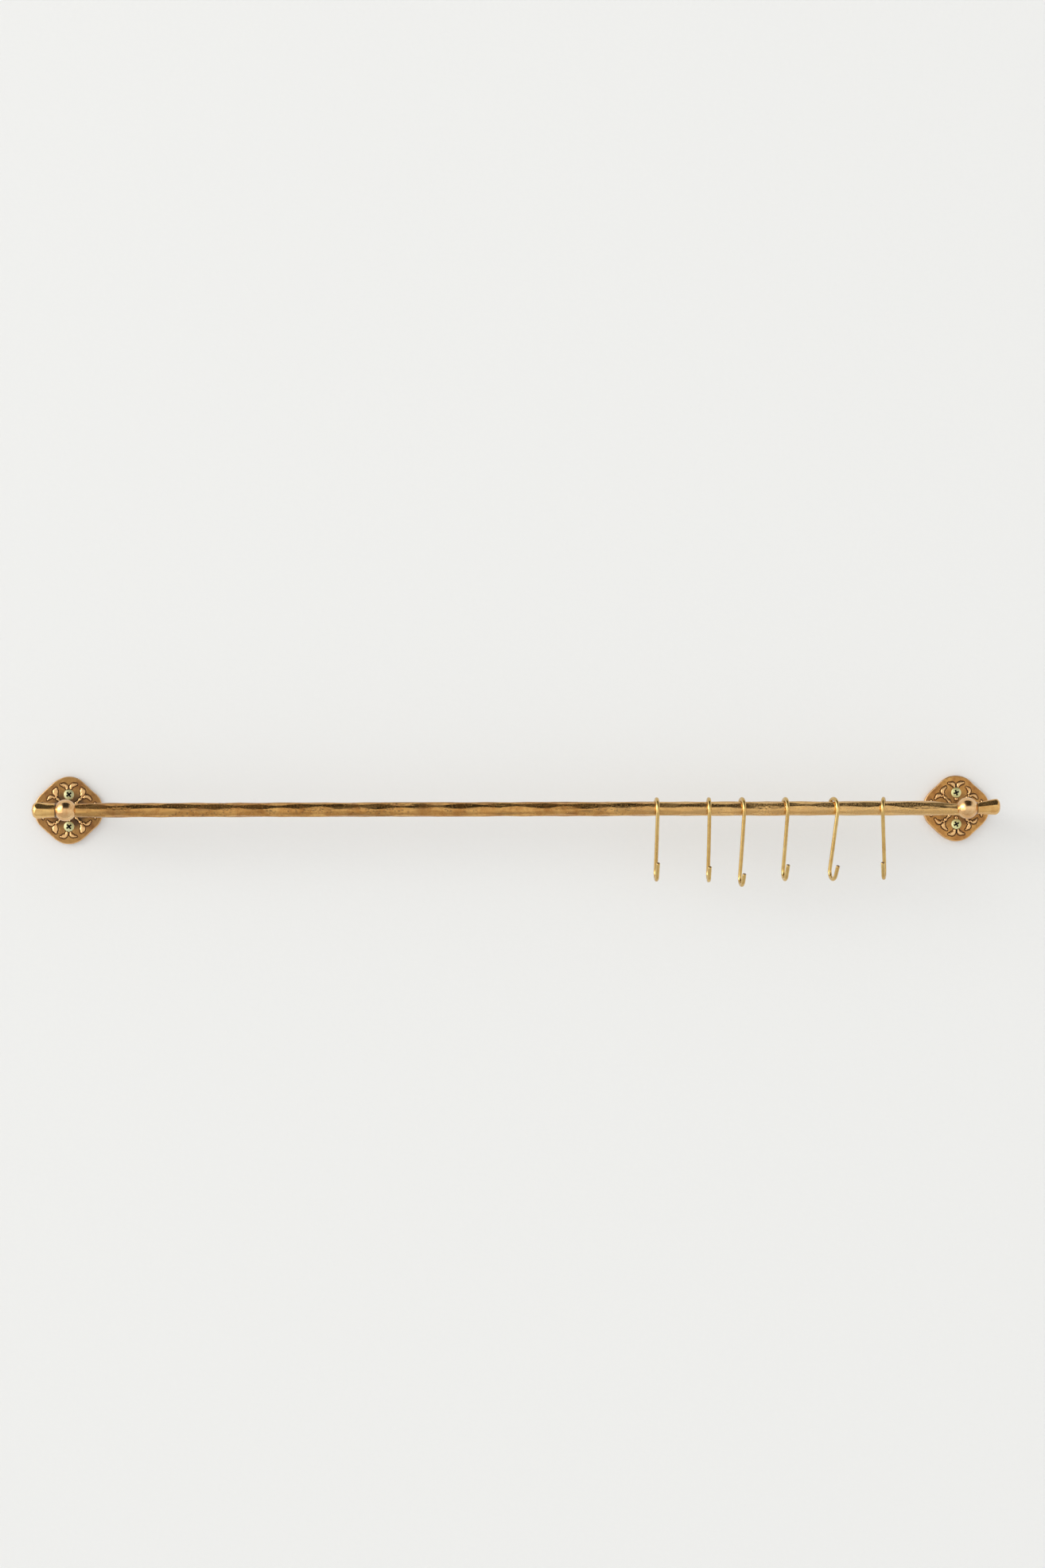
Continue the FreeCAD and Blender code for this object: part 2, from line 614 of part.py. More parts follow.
def s_hook(number):
    """Wire hook: a loop over the rod, a straight shank and a curl that opens to the front."""
    name = f"s_hook_{number}"
    body = new_body(name)
    loop = "(sizes.rail_dia / 2 + sizes.loop_clearance + sizes.wire_dia / 2)"
    curl = "(sizes.curl_inner_dia / 2 + sizes.wire_dia / 2)"
    back = "sizes.loop_back_angle"
    shank = f"sizes.hook_{number}_shank"
    lip = f"sizes.hook_{number}_lip"
    over, up = "sin(sizes.curl_turn * 1 deg)", "cos(sizes.curl_turn * 1 deg)"
    curl_y = f"-{loop} - {curl}"
    lip_y, lip_z = f"{curl_y} + {curl} * {up}", f"-{shank} - {curl} * {over}"
    route = new_sketch(body, name + "_route", "YZ_Plane")
    start = (f"{loop} * cos({back} * 1 deg)", f"-{loop} * sin({back} * 1 deg)")
    steps = [
        ("0", loop, loop, 1),
        (f"-{loop}", "0", loop, 1),
        (f"-{loop}", f"-{shank}"),
        (curl_y, f"-{shank} - {curl}", curl, -1),
        (lip_y, lip_z, curl, -1),
        (f"{lip_y} - {lip} * {over}", f"{lip_z} - {lip} * {up}"),
    ]
    draw(route, start, steps, closed=False)

    section = new_sketch(body, name + "_section", "XY_Plane")
    section.AttachmentOffset = Placement(Vector(), Rotation(Vector(-1, 0, 0), size(back)))
    bind(section, "AttachmentOffset.Rotation.Angle", f"{back} * 1 deg")
    bind(section, "AttachmentOffset.Base.y", start[0])
    bind(section, "AttachmentOffset.Base.z", start[1])
    circle(section, ("0", "0"), "sizes.wire_dia")
    doc.recompute()

    wire = body.newObject("PartDesign::AdditivePipe", name + "_wire")
    wire.Profile = section
    wire.Spine = (route, [f"Edge{edge}" for edge in range(1, len(steps) + 1)])
    doc.recompute()

    bevel = body.newObject("PartDesign::Chamfer", name + "_bevel")
    ends = [face for face in wire.Shape.Faces if face.Surface.TypeId == "Part::GeomPlane"]
    bevel.Base = (wire, edges_where(wire, lambda point: any(
        face.distToShape(Part.Vertex(point))[0] < TOLERANCE for face in ends)))
    bind(bevel, "Size", "sizes.wire_edge")
    doc.recompute()

    # It hangs with its weight straight under the place where the loop touches the rod
    weight = bevel.Shape.Solids[0].CenterOfMass
    lean = math.degrees(math.atan2(-weight.y, -weight.z))
    turn = Rotation(Vector(0, 0, 1), size(f"sizes.hook_{number}_turn"))
    body.Placement = Placement(Vector(), turn.multiply(Rotation(Vector(1, 0, 0), lean)))
    after = " - ".join(f"sizes.hook_{later}_pitch" for later in range(number, len(HOOKS) + 1))
    bind(body, "Placement.Base.x", f"sizes.post_spacing / 2 - {after}")
    bind(body, "Placement.Base.y", "-sizes.stand_off")
    bind(body, "Placement.Base.z", "sizes.rest_gap - sizes.loop_clearance")
    doc.recompute()
    return body


def build():
    """All the pieces, by name."""
    fill_sheet()
    half = "sizes.post_spacing / 2"
    seat = f"{half} + sizes.eye_width / 2"
    pieces = [
        rail_bar(),
        finial("finial_left", "sizes.finial_left_length", f"-({seat})", turned=True),
        finial("finial_right", "sizes.finial_right_length", seat, turned=False),
    ]
    for side, sign in (("left", "-"), ("right", "")):
        x = f"{sign}{half}"
        pieces.append(ball_post(f"ball_post_{side}", x))
        pieces.append(wall_plate(f"wall_plate_{side}", x))
        pieces.append(
            screw(f"post_screw_{side}", POST_SCREW, x, "-sizes.head_sink", "0", from_behind=True)
        )
        for level, up in (("upper", ""), ("lower", "-")):
            z = f"{up}sizes.screw_spacing / 2"
            pieces.append(screw(f"wall_screw_{side}_{level}", WALL_SCREW, x, "-sizes.plate_thick", z))
    pieces += [s_hook(number) for number in range(1, len(HOOKS) + 1)]
    return pieces


def check_and_write(pieces):
    """Stops at anything that failed to build, then writes one file for each piece."""
    for thing in doc.Objects:
        broken = {"Invalid", "Error"} & set(thing.State)
        assert not broken, f"{thing.Name} is {broken}"
    for piece in pieces:
        shape = piece.Shape
        assert not shape.isNull() and shape.isValid(), f"{piece.Label} is not a valid shape"
        assert len(shape.Solids) == 1, f"{piece.Label} has {len(shape.Solids)} solids"
    os.makedirs("parts", exist_ok=True)
    for piece in pieces:
        piece.Shape.exportStep(f"parts/{piece.Label}.step")
        box = piece.Shape.BoundBox
        print(
            f"{piece.Label}: {piece.Shape.Volume:.1f} mm3, "
            f"x {box.XMin:.2f} to {box.XMax:.2f}, y {box.YMin:.2f} to {box.YMax:.2f}, "
            f"z {box.ZMin:.2f} to {box.ZMax:.2f}"
        )


check_and_write(build())
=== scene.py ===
import math

import bpy
import numpy as np
from mathutils import Matrix, Vector


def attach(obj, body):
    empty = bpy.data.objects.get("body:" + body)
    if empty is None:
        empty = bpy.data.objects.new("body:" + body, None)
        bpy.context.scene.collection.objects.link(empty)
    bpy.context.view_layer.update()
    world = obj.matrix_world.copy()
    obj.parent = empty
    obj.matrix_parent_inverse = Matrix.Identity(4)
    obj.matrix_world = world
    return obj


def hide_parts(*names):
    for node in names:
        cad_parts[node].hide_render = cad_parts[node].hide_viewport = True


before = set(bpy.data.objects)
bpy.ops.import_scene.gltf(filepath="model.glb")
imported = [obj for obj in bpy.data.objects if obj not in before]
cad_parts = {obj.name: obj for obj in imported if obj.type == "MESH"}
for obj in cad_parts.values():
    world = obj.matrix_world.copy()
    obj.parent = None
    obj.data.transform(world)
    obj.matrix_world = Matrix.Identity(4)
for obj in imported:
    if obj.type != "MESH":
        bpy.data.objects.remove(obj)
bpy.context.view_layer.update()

MM = 0.001
SPACING, STAND_OFF = 711.0, 45.0
EYE_WIDTH = 12.8
SCREW_HEIGHT = 12.7
ROD_BODY = "rail_and_brackets"


# Shared sums


def scatter(row, place, salt):
    """A number from 0 to 1 for each row and place: the fractional part of a large sine."""
    wave = np.sin(np.asarray(row) * 12.9898 + np.asarray(place) * 78.233 + salt)
    return np.modf(np.abs(wave * 43758.5453))[0]


def ease(t):
    """0 below 0, 1 above 1 and 3t^2 - 2t^3 between."""
    t = np.clip(t, 0.0, 1.0)
    return t * t * (3.0 - 2.0 * t)


def drift(a, b, cell, salt):
    """Smooth noise from -1 to 1: numbers on a square lattice, eased between neighbours a cell apart."""
    u, v = np.asarray(a, float) / cell, np.asarray(b, float) / cell
    i, j = np.floor(u), np.floor(v)
    s, t = ease(u - i), ease(v - j)
    low = scatter(i, j, salt) * (1 - s) + scatter(i + 1, j, salt) * s
    high = scatter(i, j + 1, salt) * (1 - s) + scatter(i + 1, j + 1, salt) * s
    return 2.0 * (low * (1 - t) + high * t) - 1.0


def along_curve(control, count):
    """Points of a cubic Bezier curve.

    They are the sum of the four control points times (1-t)^3, 3t(1-t)^2, 3t^2(1-t) and t^3.
    """
    t = np.linspace(0.0, 1.0, count)[:, None]
    p = np.asarray(control, float)
    return (
        (1 - t) ** 3 * p[0] + 3 * t * (1 - t) ** 2 * p[1] + 3 * t**2 * (1 - t) * p[2] + t**3 * p[3]
    )


# Meshes


def make_mesh(name, points, polygons, values=None, sharp=40.0):
    """A mesh from points in millimetres and arrays of corner numbers, with its faces pointing outward.

    The volume is the sum of a . (b x c) / 6 over the triangles. Where it is negative every face is
    turned.
    """
    volume = 0.0
    for corners in polygons:
        a = points[corners[:, 0]]
        for k in range(1, corners.shape[1] - 1):
            b, c = points[corners[:, k]], points[corners[:, k + 1]]
            volume += np.einsum("ij,ij->", a, np.cross(b, c)) / 6.0
    if volume < 0:
        polygons = [corners[:, ::-1] for corners in polygons]
    loops = np.concatenate([corners.ravel() for corners in polygons])
    sizes = np.concatenate([np.full(len(corners), corners.shape[1]) for corners in polygons])
    mesh = bpy.data.meshes.new(name)
    mesh.vertices.add(len(points))
    mesh.vertices.foreach_set("co", (points * MM).astype(np.float32).ravel())
    mesh.loops.add(len(loops))
    mesh.loops.foreach_set("vertex_index", loops.astype(np.int32))
    mesh.polygons.add(len(sizes))
    starts = np.concatenate([[0], np.cumsum(sizes)[:-1]])
    mesh.polygons.foreach_set("loop_start", starts.astype(np.int32))
    mesh.polygons.foreach_set("use_smooth", np.ones(len(sizes), bool))
    mesh.update(calc_edges=True)
    mesh.validate()
    for key, numbers in (values or {}).items():
        mesh.attributes.new(key, "FLOAT", "POINT").data.foreach_set("value", numbers.astype(np.float32))
    mesh.set_sharp_from_angle(angle=math.radians(sharp))
    return mesh


def skin(rings, first, last):
    """Points and faces over rings of shape (n, m, 3), with one point closing each end."""
    n, m = rings.shape[:2]
    points = np.concatenate([[first], rings.reshape(-1, 3), [last]])
    here = 1 + np.arange(n * m).reshape(n, m)
    after = np.roll(here, -1, axis=1)
    sides = np.stack([here[:-1], after[:-1], after[1:], here[1:]], axis=-1).reshape(-1, 4)
    start = np.stack([np.zeros(m, int), after[0], here[0]], axis=-1)
    end = np.stack([np.full(m, n * m + 1), here[-1], after[-1]], axis=-1)
    return points, [sides, start, end]


def on_rings(numbers):
    """Numbers of shape (n, m) in the order of skin's points."""
    return np.concatenate([[numbers[0].mean()], numbers.ravel(), [numbers[-1].mean()]])


def show(mesh, finish, body, slot, *nodes):
    """Puts a mesh in the scene as one piece that rides on a body and stands for CAD nodes."""
    piece = bpy.data.objects.new(mesh.name, mesh)
    bpy.context.scene.collection.objects.link(piece)
    mesh.materials.append(finish)
    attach(piece, body)
    if nodes:
        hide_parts(*nodes)
    return piece


# The rod

ROD_RADIUS = 5.8
ROD_ROWS, ROD_ROUND = 1390, 68
SPIGOT_RADIUS, SPIGOT_REACH = 3.0, 9.0
DRAWN_LENGTH = 24.0
BLOW_PITCH, BLOWS_AROUND, BLOW_CROWN = 16.0, 6, 300.0
BLOW_LEAST, BLOW_DEPTH, BLOW_DRIFT, BLOW_SWERVE = 0.18, 0.50, 4.8, math.radians(12)


def hammer_flats(x, angle, half):
    """Radius under hammer blows: a soft minimum of the round bar and each blow's own flat.

    A flat at (x0, angle0), sunk by d, lies at (R - d + (x - x0)^2 / (2 crown)) / cos(angle - angle0).
    The soft minimum of values v is -k log(sum(exp(-v / k))), which rounds the ridges between flats.
    """
    soft = 0.035
    total = np.ones(x.shape)
    for row in range(-2, int(2 * half / BLOW_PITCH) + 3):
        near = np.flatnonzero(np.abs(x[:, 0] - (row * BLOW_PITCH - half)) < 26.0)
        if not len(near):
            continue
        part = slice(near[0], near[-1] + 1)
        for place in range(BLOWS_AROUND):
            sunk = BLOW_LEAST + (BLOW_DEPTH - BLOW_LEAST) * scatter(row, place, 0.3)
            x0 = row * BLOW_PITCH - half + BLOW_DRIFT * (2 * scatter(row, place, 1.7) - 1)
            angle0 = (place + row / 2) * math.tau / BLOWS_AROUND
            angle0 += BLOW_SWERVE * (2 * scatter(row, place, 2.9) - 1)
            facing = np.maximum(np.cos(angle[part] - angle0), 0.3)
            flat = (ROD_RADIUS - sunk + (x[part] - x0) ** 2 / (2 * BLOW_CROWN)) / facing
            total[part] += np.exp((ROD_RADIUS - flat) / soft)
    return ROD_RADIUS - soft * np.log(total)


def dents(x, angle, spots):
    """Depth of oval dents: at each spot depth * max(0, 1 - (dx / a)^2 - (ds / b)^2), deepest counts.

    A spot is x0, angle0, a, b, depth; ds is the distance round the rod.
    """
    depth = np.zeros(x.shape)
    step = x[1, 0] - x[0, 0]
    for x0, angle0, a, b, deep in spots:
        low = max(int((x0 - a - x[0, 0]) / step), 0)
        high = min(int((x0 + a - x[0, 0]) / step) + 2, len(x))
        if low >= high:
            continue
        part = slice(low, high)
        turn = (angle[part] - angle0 + math.pi) % math.tau - math.pi
        dent = deep * (1 - ((x[part] - x0) / a) ** 2 - (turn * ROD_RADIUS / b) ** 2)
        depth[part] = np.maximum(depth[part], dent)
    return depth


def peen_spots(half):
    """Round peen marks in rows about 2 mm apart, fainter where a slow noise is low."""
    row, place = np.meshgrid(np.arange(int(2 * half / 2.2)), np.arange(14), indexing="ij")
    x0 = row * 2.2 - half + 1.6 * scatter(row, place, 4.1)
    angle0 = (place + row / 2 + 0.7 * scatter(row, place, 5.3)) * math.tau / 14
    strength = ease(0.45 + 0.9 * drift(x0, angle0 * ROD_RADIUS, 23.0, 6.1))
    deep = (0.01 + 0.05 * scatter(row, place, 7.7)) * strength
    wide = 0.85 + 0.5 * scatter(row, place, 8.9)
    spots = np.stack([x0, angle0, wide, wide, deep], axis=-1).reshape(-1, 5)
    return spots[spots[:, 4] > 0.012]


def tick_spots(half):
    """Short chisel marks across the rod, about 2 mm apart in runs, on its upper front."""
    x0 = np.arange(-half, half, 2.05)
    number = np.arange(len(x0))
    run = np.sin(x0 / 23.0) + np.sin(x0 / 37.0 + 1.3) > -0.35
    x0 = x0 + 0.6 * scatter(number, 1, 2.2)
    angle0 = math.radians(136) + 0.16 * drift(x0, 0 * x0, 41.0, 3.3) + 0.1 * scatter(number, 3, 1.1)
    deep = 0.05 + 0.06 * scatter(number, 2, 9.1)
    spots = np.stack([x0, angle0, 0 * x0 + 0.8, 1.1 + scatter(number, 4, 4.4), deep], axis=-1)
    return spots[run]


def pit_spots(half):
    """Small pits in loose clusters, most of them on the front."""
    dice = np.random.default_rng(41)
    centres = np.stack([dice.uniform(-half, half, 34), dice.normal(math.pi, 0.55, 34)], axis=-1)
    spread = dice.normal(0, 1, (34, 20, 2)) * np.array([9.0, 0.32])
    place = (centres[:, None] + spread).reshape(-1, 2)
    wide = dice.uniform(0.55, 0.95, (len(place), 1))
    long = wide * dice.uniform(0.8, 1.7, (len(place), 1))
    deep = dice.uniform(0.08, 0.20, (len(place), 1))
    return np.concatenate([place, long, wide, deep], axis=1)


def hammered_rod(finish):
    """The rod on (x, angle): flats less dents, between two plain spigots that run through the balls.

    It is drawn down over DRAWN_LENGTH towards each ball, and at the right one most of all on top.
    """
    half = (SPACING - EYE_WIDTH) / 2
    reach = (SPACING + EYE_WIDTH) / 2 + SPIGOT_REACH
    x, angle = np.meshgrid(
        np.linspace(-half, half, ROD_ROWS),
        np.linspace(0, math.tau, ROD_ROUND, endpoint=False),
        indexing="ij",
    )
    radius = hammer_flats(x, angle, half)
    fine = dents(x, angle, peen_spots(half))
    marks = np.maximum(dents(x, angle, tick_spots(half)), dents(x, angle, pit_spots(half)))
    settle = ease((half - np.abs(x)) / 2.0)
    drawn = ease((np.abs(x) - half + DRAWN_LENGTH) / DRAWN_LENGTH)
    drawn = drawn * np.where(x > 0, 1.15 + 1.1 * np.sin(angle), 0.35)
    radius = radius - (fine + marks) * settle - drawn
    end_x = np.array([-reach, -reach + 0.4, -half])[:, None] + 0 * angle[:3]
    end_radius = np.array([2.6, SPIGOT_RADIUS, SPIGOT_RADIUS])[:, None] + 0 * angle[:3]
    all_x = np.concatenate([end_x, x, -end_x[::-1]])
    all_radius = np.concatenate([end_radius, radius, end_radius])
    all_angle = np.concatenate([angle[:3], angle, angle[:3]])
    rings = np.stack(
        [all_x, -STAND_OFF + all_radius * np.cos(all_angle), all_radius * np.sin(all_angle)], axis=-1
    )
    points, polygons = skin(rings, (-reach, -STAND_OFF, 0), (reach, -STAND_OFF, 0))
    around = all_angle * ROD_RADIUS
    # Painted dark reflection: a band along the top of the rod is coloured dark brown, patchy along its
    # length. The streaks and dents below are patina.
    top_band_patches = 0.3 + 0.7 * ease(0.5 + 0.9 * drift(all_x, around, 17.0, 8.2))
    top, top_half, top_blur = math.radians(85), math.radians(33), math.radians(14)
    patina_and_shade = 0.55 * top_band_patches * ease((top_half - np.abs(all_angle - top)) / top_blur)
    streak = ease((drift(all_x / 6.0, around, 2.2, 5.9) - 0.15) / 0.55)
    streak = streak * ease(np.minimum(all_angle, math.tau - all_angle) / 0.3)
    patina_and_shade = np.maximum(patina_and_shade, 0.34 * streak)
    patina_and_shade[3:-3] = np.maximum(patina_and_shade[3:-3], np.clip(marks / 0.26, 0, 0.8))
    pale = 0.7 * ease((all_x - 40) / 130) * (0.8 + 0.2 * drift(all_x, around, 31.0, 2.4))
    values = {"patina_and_shade": on_rings(patina_and_shade), "raised": on_rings(pale)}
    mesh = make_mesh("rail_rod", points, polygons, values)
    show(mesh, finish, ROD_BODY, "hammered_brass", "rail_bar")


# The finials

FINIAL_FLATS, PLAIN_NECK = 7, 2.6


def finial(side, sign, length, neck, dome, lift, finish):
    """A flared end on (profile, angle): the turned radius cut by flats, each a plane beside the axis.

    The flats begin past a plain neck. The middle line rises by lift from neck to end.
    """
    waist, waist_radius, end, crown = 7.0, max(neck, 5.2), 6.5, 0.52
    bore, depth = 3.05, 10.5
    flare = np.linspace(0.0, 1.0, 34)
    turn = np.linspace(0.0, 1.0, 15)[1:] * math.pi / 2
    face = np.linspace(1.0, 0.0, 9)[1:-1]
    flare_x = flare * (length - dome)
    widening = ((flare_x - waist) / (length - dome - waist)).clip(0) ** 0.85
    flare_radius = np.where(
        flare_x < waist,
        neck + (waist_radius - neck) * ease(flare_x / waist),
        waist_radius + (end - waist_radius) * widening,
    )
    profile = np.concatenate([
        np.stack([[depth, 0.0], [bore, bore]], axis=-1),
        np.stack([flare_x, flare_radius], axis=-1),
        np.stack([length - dome + dome * np.sin(turn), end - dome + dome * np.cos(turn)], axis=-1),
        np.stack([length + crown * (1 - face**2), (end - dome) * face], axis=-1),
    ])
    angle = np.linspace(0, math.tau, 96, endpoint=False)[None]
    x = profile[:, :1] + 0 * angle
    radius = profile[:, 1:] + 0 * angle
    outer = slice(2, len(profile))
    slope = ease((x[outer] - PLAIN_NECK) / (length - 2 * PLAIN_NECK))
    flat = neck + (end - 0.4 - neck) * slope
    lowest = np.exp(-radius[outer] / 0.05)
    past_neck = np.where(x[outer] > PLAIN_NECK, 1.0, 0.0)
    for place in range(FINIAL_FLATS):
        facing = np.maximum(np.cos(angle - (place * math.tau / FINIAL_FLATS + math.pi / 2)), 0.3)
        lowest = lowest + past_neck * np.exp(-flat / facing / 0.05)
    shaped = -0.05 * np.log(lowest)
    wave = 0.05 * drift(x[outer], angle * 5 + 0 * x[outer], 3.7, 2.0 + sign)
    radius[outer] = np.minimum(radius[outer], shaped) - np.abs(wave) * slope * (radius[outer] > 2)
    seat = (SPACING + EYE_WIDTH) / 2
    across = sign * (seat + x)
    rise = np.zeros(x.shape)
    rise[outer] = lift * ease(x[outer] / length)
    rings = np.stack(
        [across, -STAND_OFF + radius * np.cos(angle), rise + radius * np.sin(angle)], axis=-1
    )
    first = (sign * (seat + depth + bore), -STAND_OFF, 0)
    last = (sign * (seat + length + crown), -STAND_OFF, lift)
    points, polygons = skin(rings, first, last)
    patina_and_shade = np.zeros(x.shape)
    patina_and_shade[outer] = 0.9 * ease((2.3 - x[outer]) / 0.6)
    patina_and_shade[:2] = 1.0
    mesh = make_mesh(f"finial_end_{side}", points, polygons, {"patina_and_shade": on_rings(patina_and_shade)}, 50)
    show(mesh, finish, ROD_BODY, "hammered_brass", f"finial_{side}")


# The balls' fronts

BALL_RADIUS, BALL_LEAD = 8.5, 2.0


def ball_front(side, sign, finish):
    """The ball's front half, set forward of the rod's axis: a half sphere and a short drum behind it."""
    turn = np.linspace(0, math.pi / 2, 40)[1:]
    drum = np.stack([-STAND_OFF + np.array([1.4, 1.0, 0.0, -0.5 * BALL_LEAD]),
                     np.array([0.0, BALL_RADIUS - 0.2, BALL_RADIUS, BALL_RADIUS])], axis=-1)
    dome = np.stack([-STAND_OFF - BALL_LEAD - BALL_RADIUS * np.sin(turn),
                     BALL_RADIUS * np.cos(turn)], axis=-1)
    start = np.array([[-STAND_OFF - BALL_LEAD, BALL_RADIUS]])
    points, polygons = turned(np.concatenate([drum, start, dome]), 120, (sign * SPACING / 2, 0.0))
    values = {"patina_and_shade": np.zeros(len(points))}
    mesh = make_mesh(f"ball_front_{side}", points, polygons, values, 50)
    show(mesh, finish, ROD_BODY, "polished_brass")


# The wall plates

PLATE_THICK, RELIEF = 3.2, 0.8
LOBE, TO_SIDE, TO_TOP = 18.0, 9.75, 9.1
UPRIGHT_LEAF = [(1.5, 17.2), (1.5, 19.6), (3.0, 20.3), (6.0, 20.5)]
LONG_LEAF = [(1.3, 15.4), (1.3, 17.8), (2.8, 18.5), (6.3, 17.9)]
FAN_LEAF = [(1.3, 15.6), (1.5, 17.2), (2.2, 18.3), (4.9, 19.3)]
BEAD_PLACES, BEAD_RADIUS = (8.2, 12.6), 1.2
TAB_INNER, TAB_OUTER = 7.45, 9.0


def plate_edge(angle, salt):
    """Distance from the plate's centre to its edge, the least of h(f) / cos(f - angle) over every f.

    h(f) is how far the four lobes reach in the direction f. The cast edge wanders inside that line.
    """
    f = np.linspace(0, math.tau, 721)[None]
    h = LOBE + np.maximum(TO_SIDE * np.abs(np.cos(f)), TO_TOP * np.abs(np.sin(f)))
    facing = np.cos(f - angle[:, None])
    edge = np.where(facing > 0.2, h / np.maximum(facing, 0.2), 99.0).min(axis=1)
    slow = 0.5 + 0.5 * drift(20 * np.cos(angle) + 60, 20 * np.sin(angle) + 60, 9.0, salt)
    quick = 0.5 + 0.5 * drift(20 * np.cos(angle) + 60, 20 * np.sin(angle) + 60, 3.4, salt + 1)
    return edge - 0.75 * slow - 0.28 * quick


def leaf_height(u, v, control, swell):
    """Height of a curled leaf from 0 to 1 over a cubic Bezier line, and the distance from its edge.

    Where d is the distance from the line and w its half width there, the height is
    (1 - (d / w)^3)^0.6.
    """
    line = along_curve(control, 40)
    share = np.linspace(0, 1, 40)
    half = 0.80 + 0.62 * ease(share / 0.5) - 0.72 * ease((share - 0.62) / 0.38)
    half = half * (swell[..., None] + 0.12 * np.sin(8.0 * share + 23.0 * swell[..., None]))
    d = np.hypot(u[..., None] - line[:, 0], v[..., None] - line[:, 1])
    dome = (np.clip(1 - (d / half) ** 3, 0, 1) ** 0.6).max(axis=-1)
    rim = (d - half).min(axis=-1)
    return dome, rim


def relief(x, z, salt, broad):
    """Height of the sprigs over the plate's face, and how dark with patina each place in the grooves is,
    from 0 to 1.

    Each point is turned into the frame of its nearest arm, u across it and v along it. Where broad is
    true, one leaf of each diagonal arm is broad.
    """
    high = np.zeros(x.shape)
    rim = np.full(x.shape, 9.0)
    turn = np.arctan2(x, z)
    reach_out = np.hypot(x, z)
    for offset in (0.0, math.pi / 4):
        arm = np.round((turn - offset) / (math.pi / 2))
        lean = 0.05 * (scatter(arm % 4, offset, salt) - 0.5)
        own = turn - offset - arm * math.pi / 2 + lean
        u, v = reach_out * np.sin(own), reach_out * np.cos(own)
        sideways = np.sign(u)
        swell = 1.0 + 0.24 * (scatter(arm % 4 + 5 * sideways, offset, salt + 1) - 0.5)
        nudge = 0.5 * (scatter(arm % 4 + 7 * sideways, offset, salt + 2) - 0.5)
        fan = broad & (offset > 0) & (sideways * (-1) ** (arm % 4) < 0)
        near = (v > 8) & (np.abs(u) < 9.5)
        for control, part, fat in (
            (UPRIGHT_LEAF, near & (offset == 0), 1.08), (LONG_LEAF, near & (offset > 0) & ~fan, 1.0),
            (FAN_LEAF, near & fan, 1.42),
        ):
            dome, edge = leaf_height(np.abs(u[part]), v[part] - nudge[part], control, fat * swell[part])
            high[part] = np.maximum(high[part], RELIEF * dome)
            rim[part] = np.minimum(rim[part], edge)
        if offset:
            width = 0.70 + 0.12 * np.sin(v * 2.2)
            stem = np.sqrt(np.clip(1 - (u / width) ** 2, 0, 1))
            stem = stem * ease((v - 5.9) / 0.7) * ease((15.6 - v) / 0.8)
            high = np.maximum(high, 0.62 * stem)
            rim = np.where((v > 6) & (v < 15.4), np.minimum(rim, np.abs(u) - width), rim)
            for bead in BEAD_PLACES:
                d = np.hypot(u, v - bead)
                round_top = np.sqrt(np.clip(1 - (d / BEAD_RADIUS) ** 2, 0, 1))
                high = np.maximum(high, RELIEF * round_top)
                rim = np.minimum(rim, d - BEAD_RADIUS)
        else:
            parting = np.where((v > 16.2) & (v < 20.0), np.abs(u) + 0.1, 9.0)
            high = high * ease((parting - 0.15) / 0.35)
            rim = np.minimum(rim, parting)
            d = np.hypot(u, np.maximum(TAB_INNER - v, 0) + np.maximum(v - TAB_OUTER, 0))
            wall = np.sqrt(np.clip(1 - ((d - 0.72) / 0.55) ** 2, 0, 1))
            high = np.maximum(high, np.where(d < 1.3, RELIEF * np.maximum(wall, 0.45), 0))
            rim = np.minimum(rim, d - 1.28)
    wide = 0.36 + 0.16 * drift(x, z, 2.6, salt + 7)
    groove = np.exp(-(((rim - 0.26) / wide) ** 2)) * (rim > -0.25)
    high = high - 0.36 * groove * (1 - ease(high / 0.3))
    return high, np.clip(1.15 * groove * (1 - ease((high - 0.05) / 0.3)), 0, 1)


def turned(profile, count, centre):
    """A closed solid turned about an axis along Y, from (y, radius) points with both ends on it."""
    angle = np.linspace(0, math.tau, count, endpoint=False)[None]
    y, radius = profile[1:-1, :1], profile[1:-1, 1:]
    rings = np.stack(
        [centre[0] + radius * np.cos(angle), y + 0 * angle, centre[1] + radius * np.sin(angle)], axis=-1
    )
    ends = [(centre[0], profile[k, 0], centre[1]) for k in (0, -1)]
    return skin(rings, *ends)


def plate_holes(x):
    """The three bores of a plate as closed solids: two countersunk for wall screws, one from behind."""
    bores = []
    for z in (SCREW_HEIGHT, -SCREW_HEIGHT):
        profile = [(-6, 0), (-6, 4.35), (-3.2, 4.35), (-1.15, 2.3), (1, 2.3), (1, 0)]
        bores.append(turned(np.array(profile), 72, (x, z)))
    profile = [(1, 0), (1, 5.75), (0, 4.75), (-2.05, 2.7), (-6, 2.7), (-6, 0)]
    bores.append(turned(np.array(profile), 72, (x, 0.0)))
    points, polygons, start = [], [], 0
    for own_points, own_polygons in bores:
        points.append(own_points)
        polygons += [corners + start for corners in own_polygons]
        start += len(own_points)
    mesh = make_mesh("bores", np.concatenate(points), polygons)
    cutter = bpy.data.objects.new("bores", mesh)
    bpy.context.scene.collection.objects.link(cutter)
    return cutter


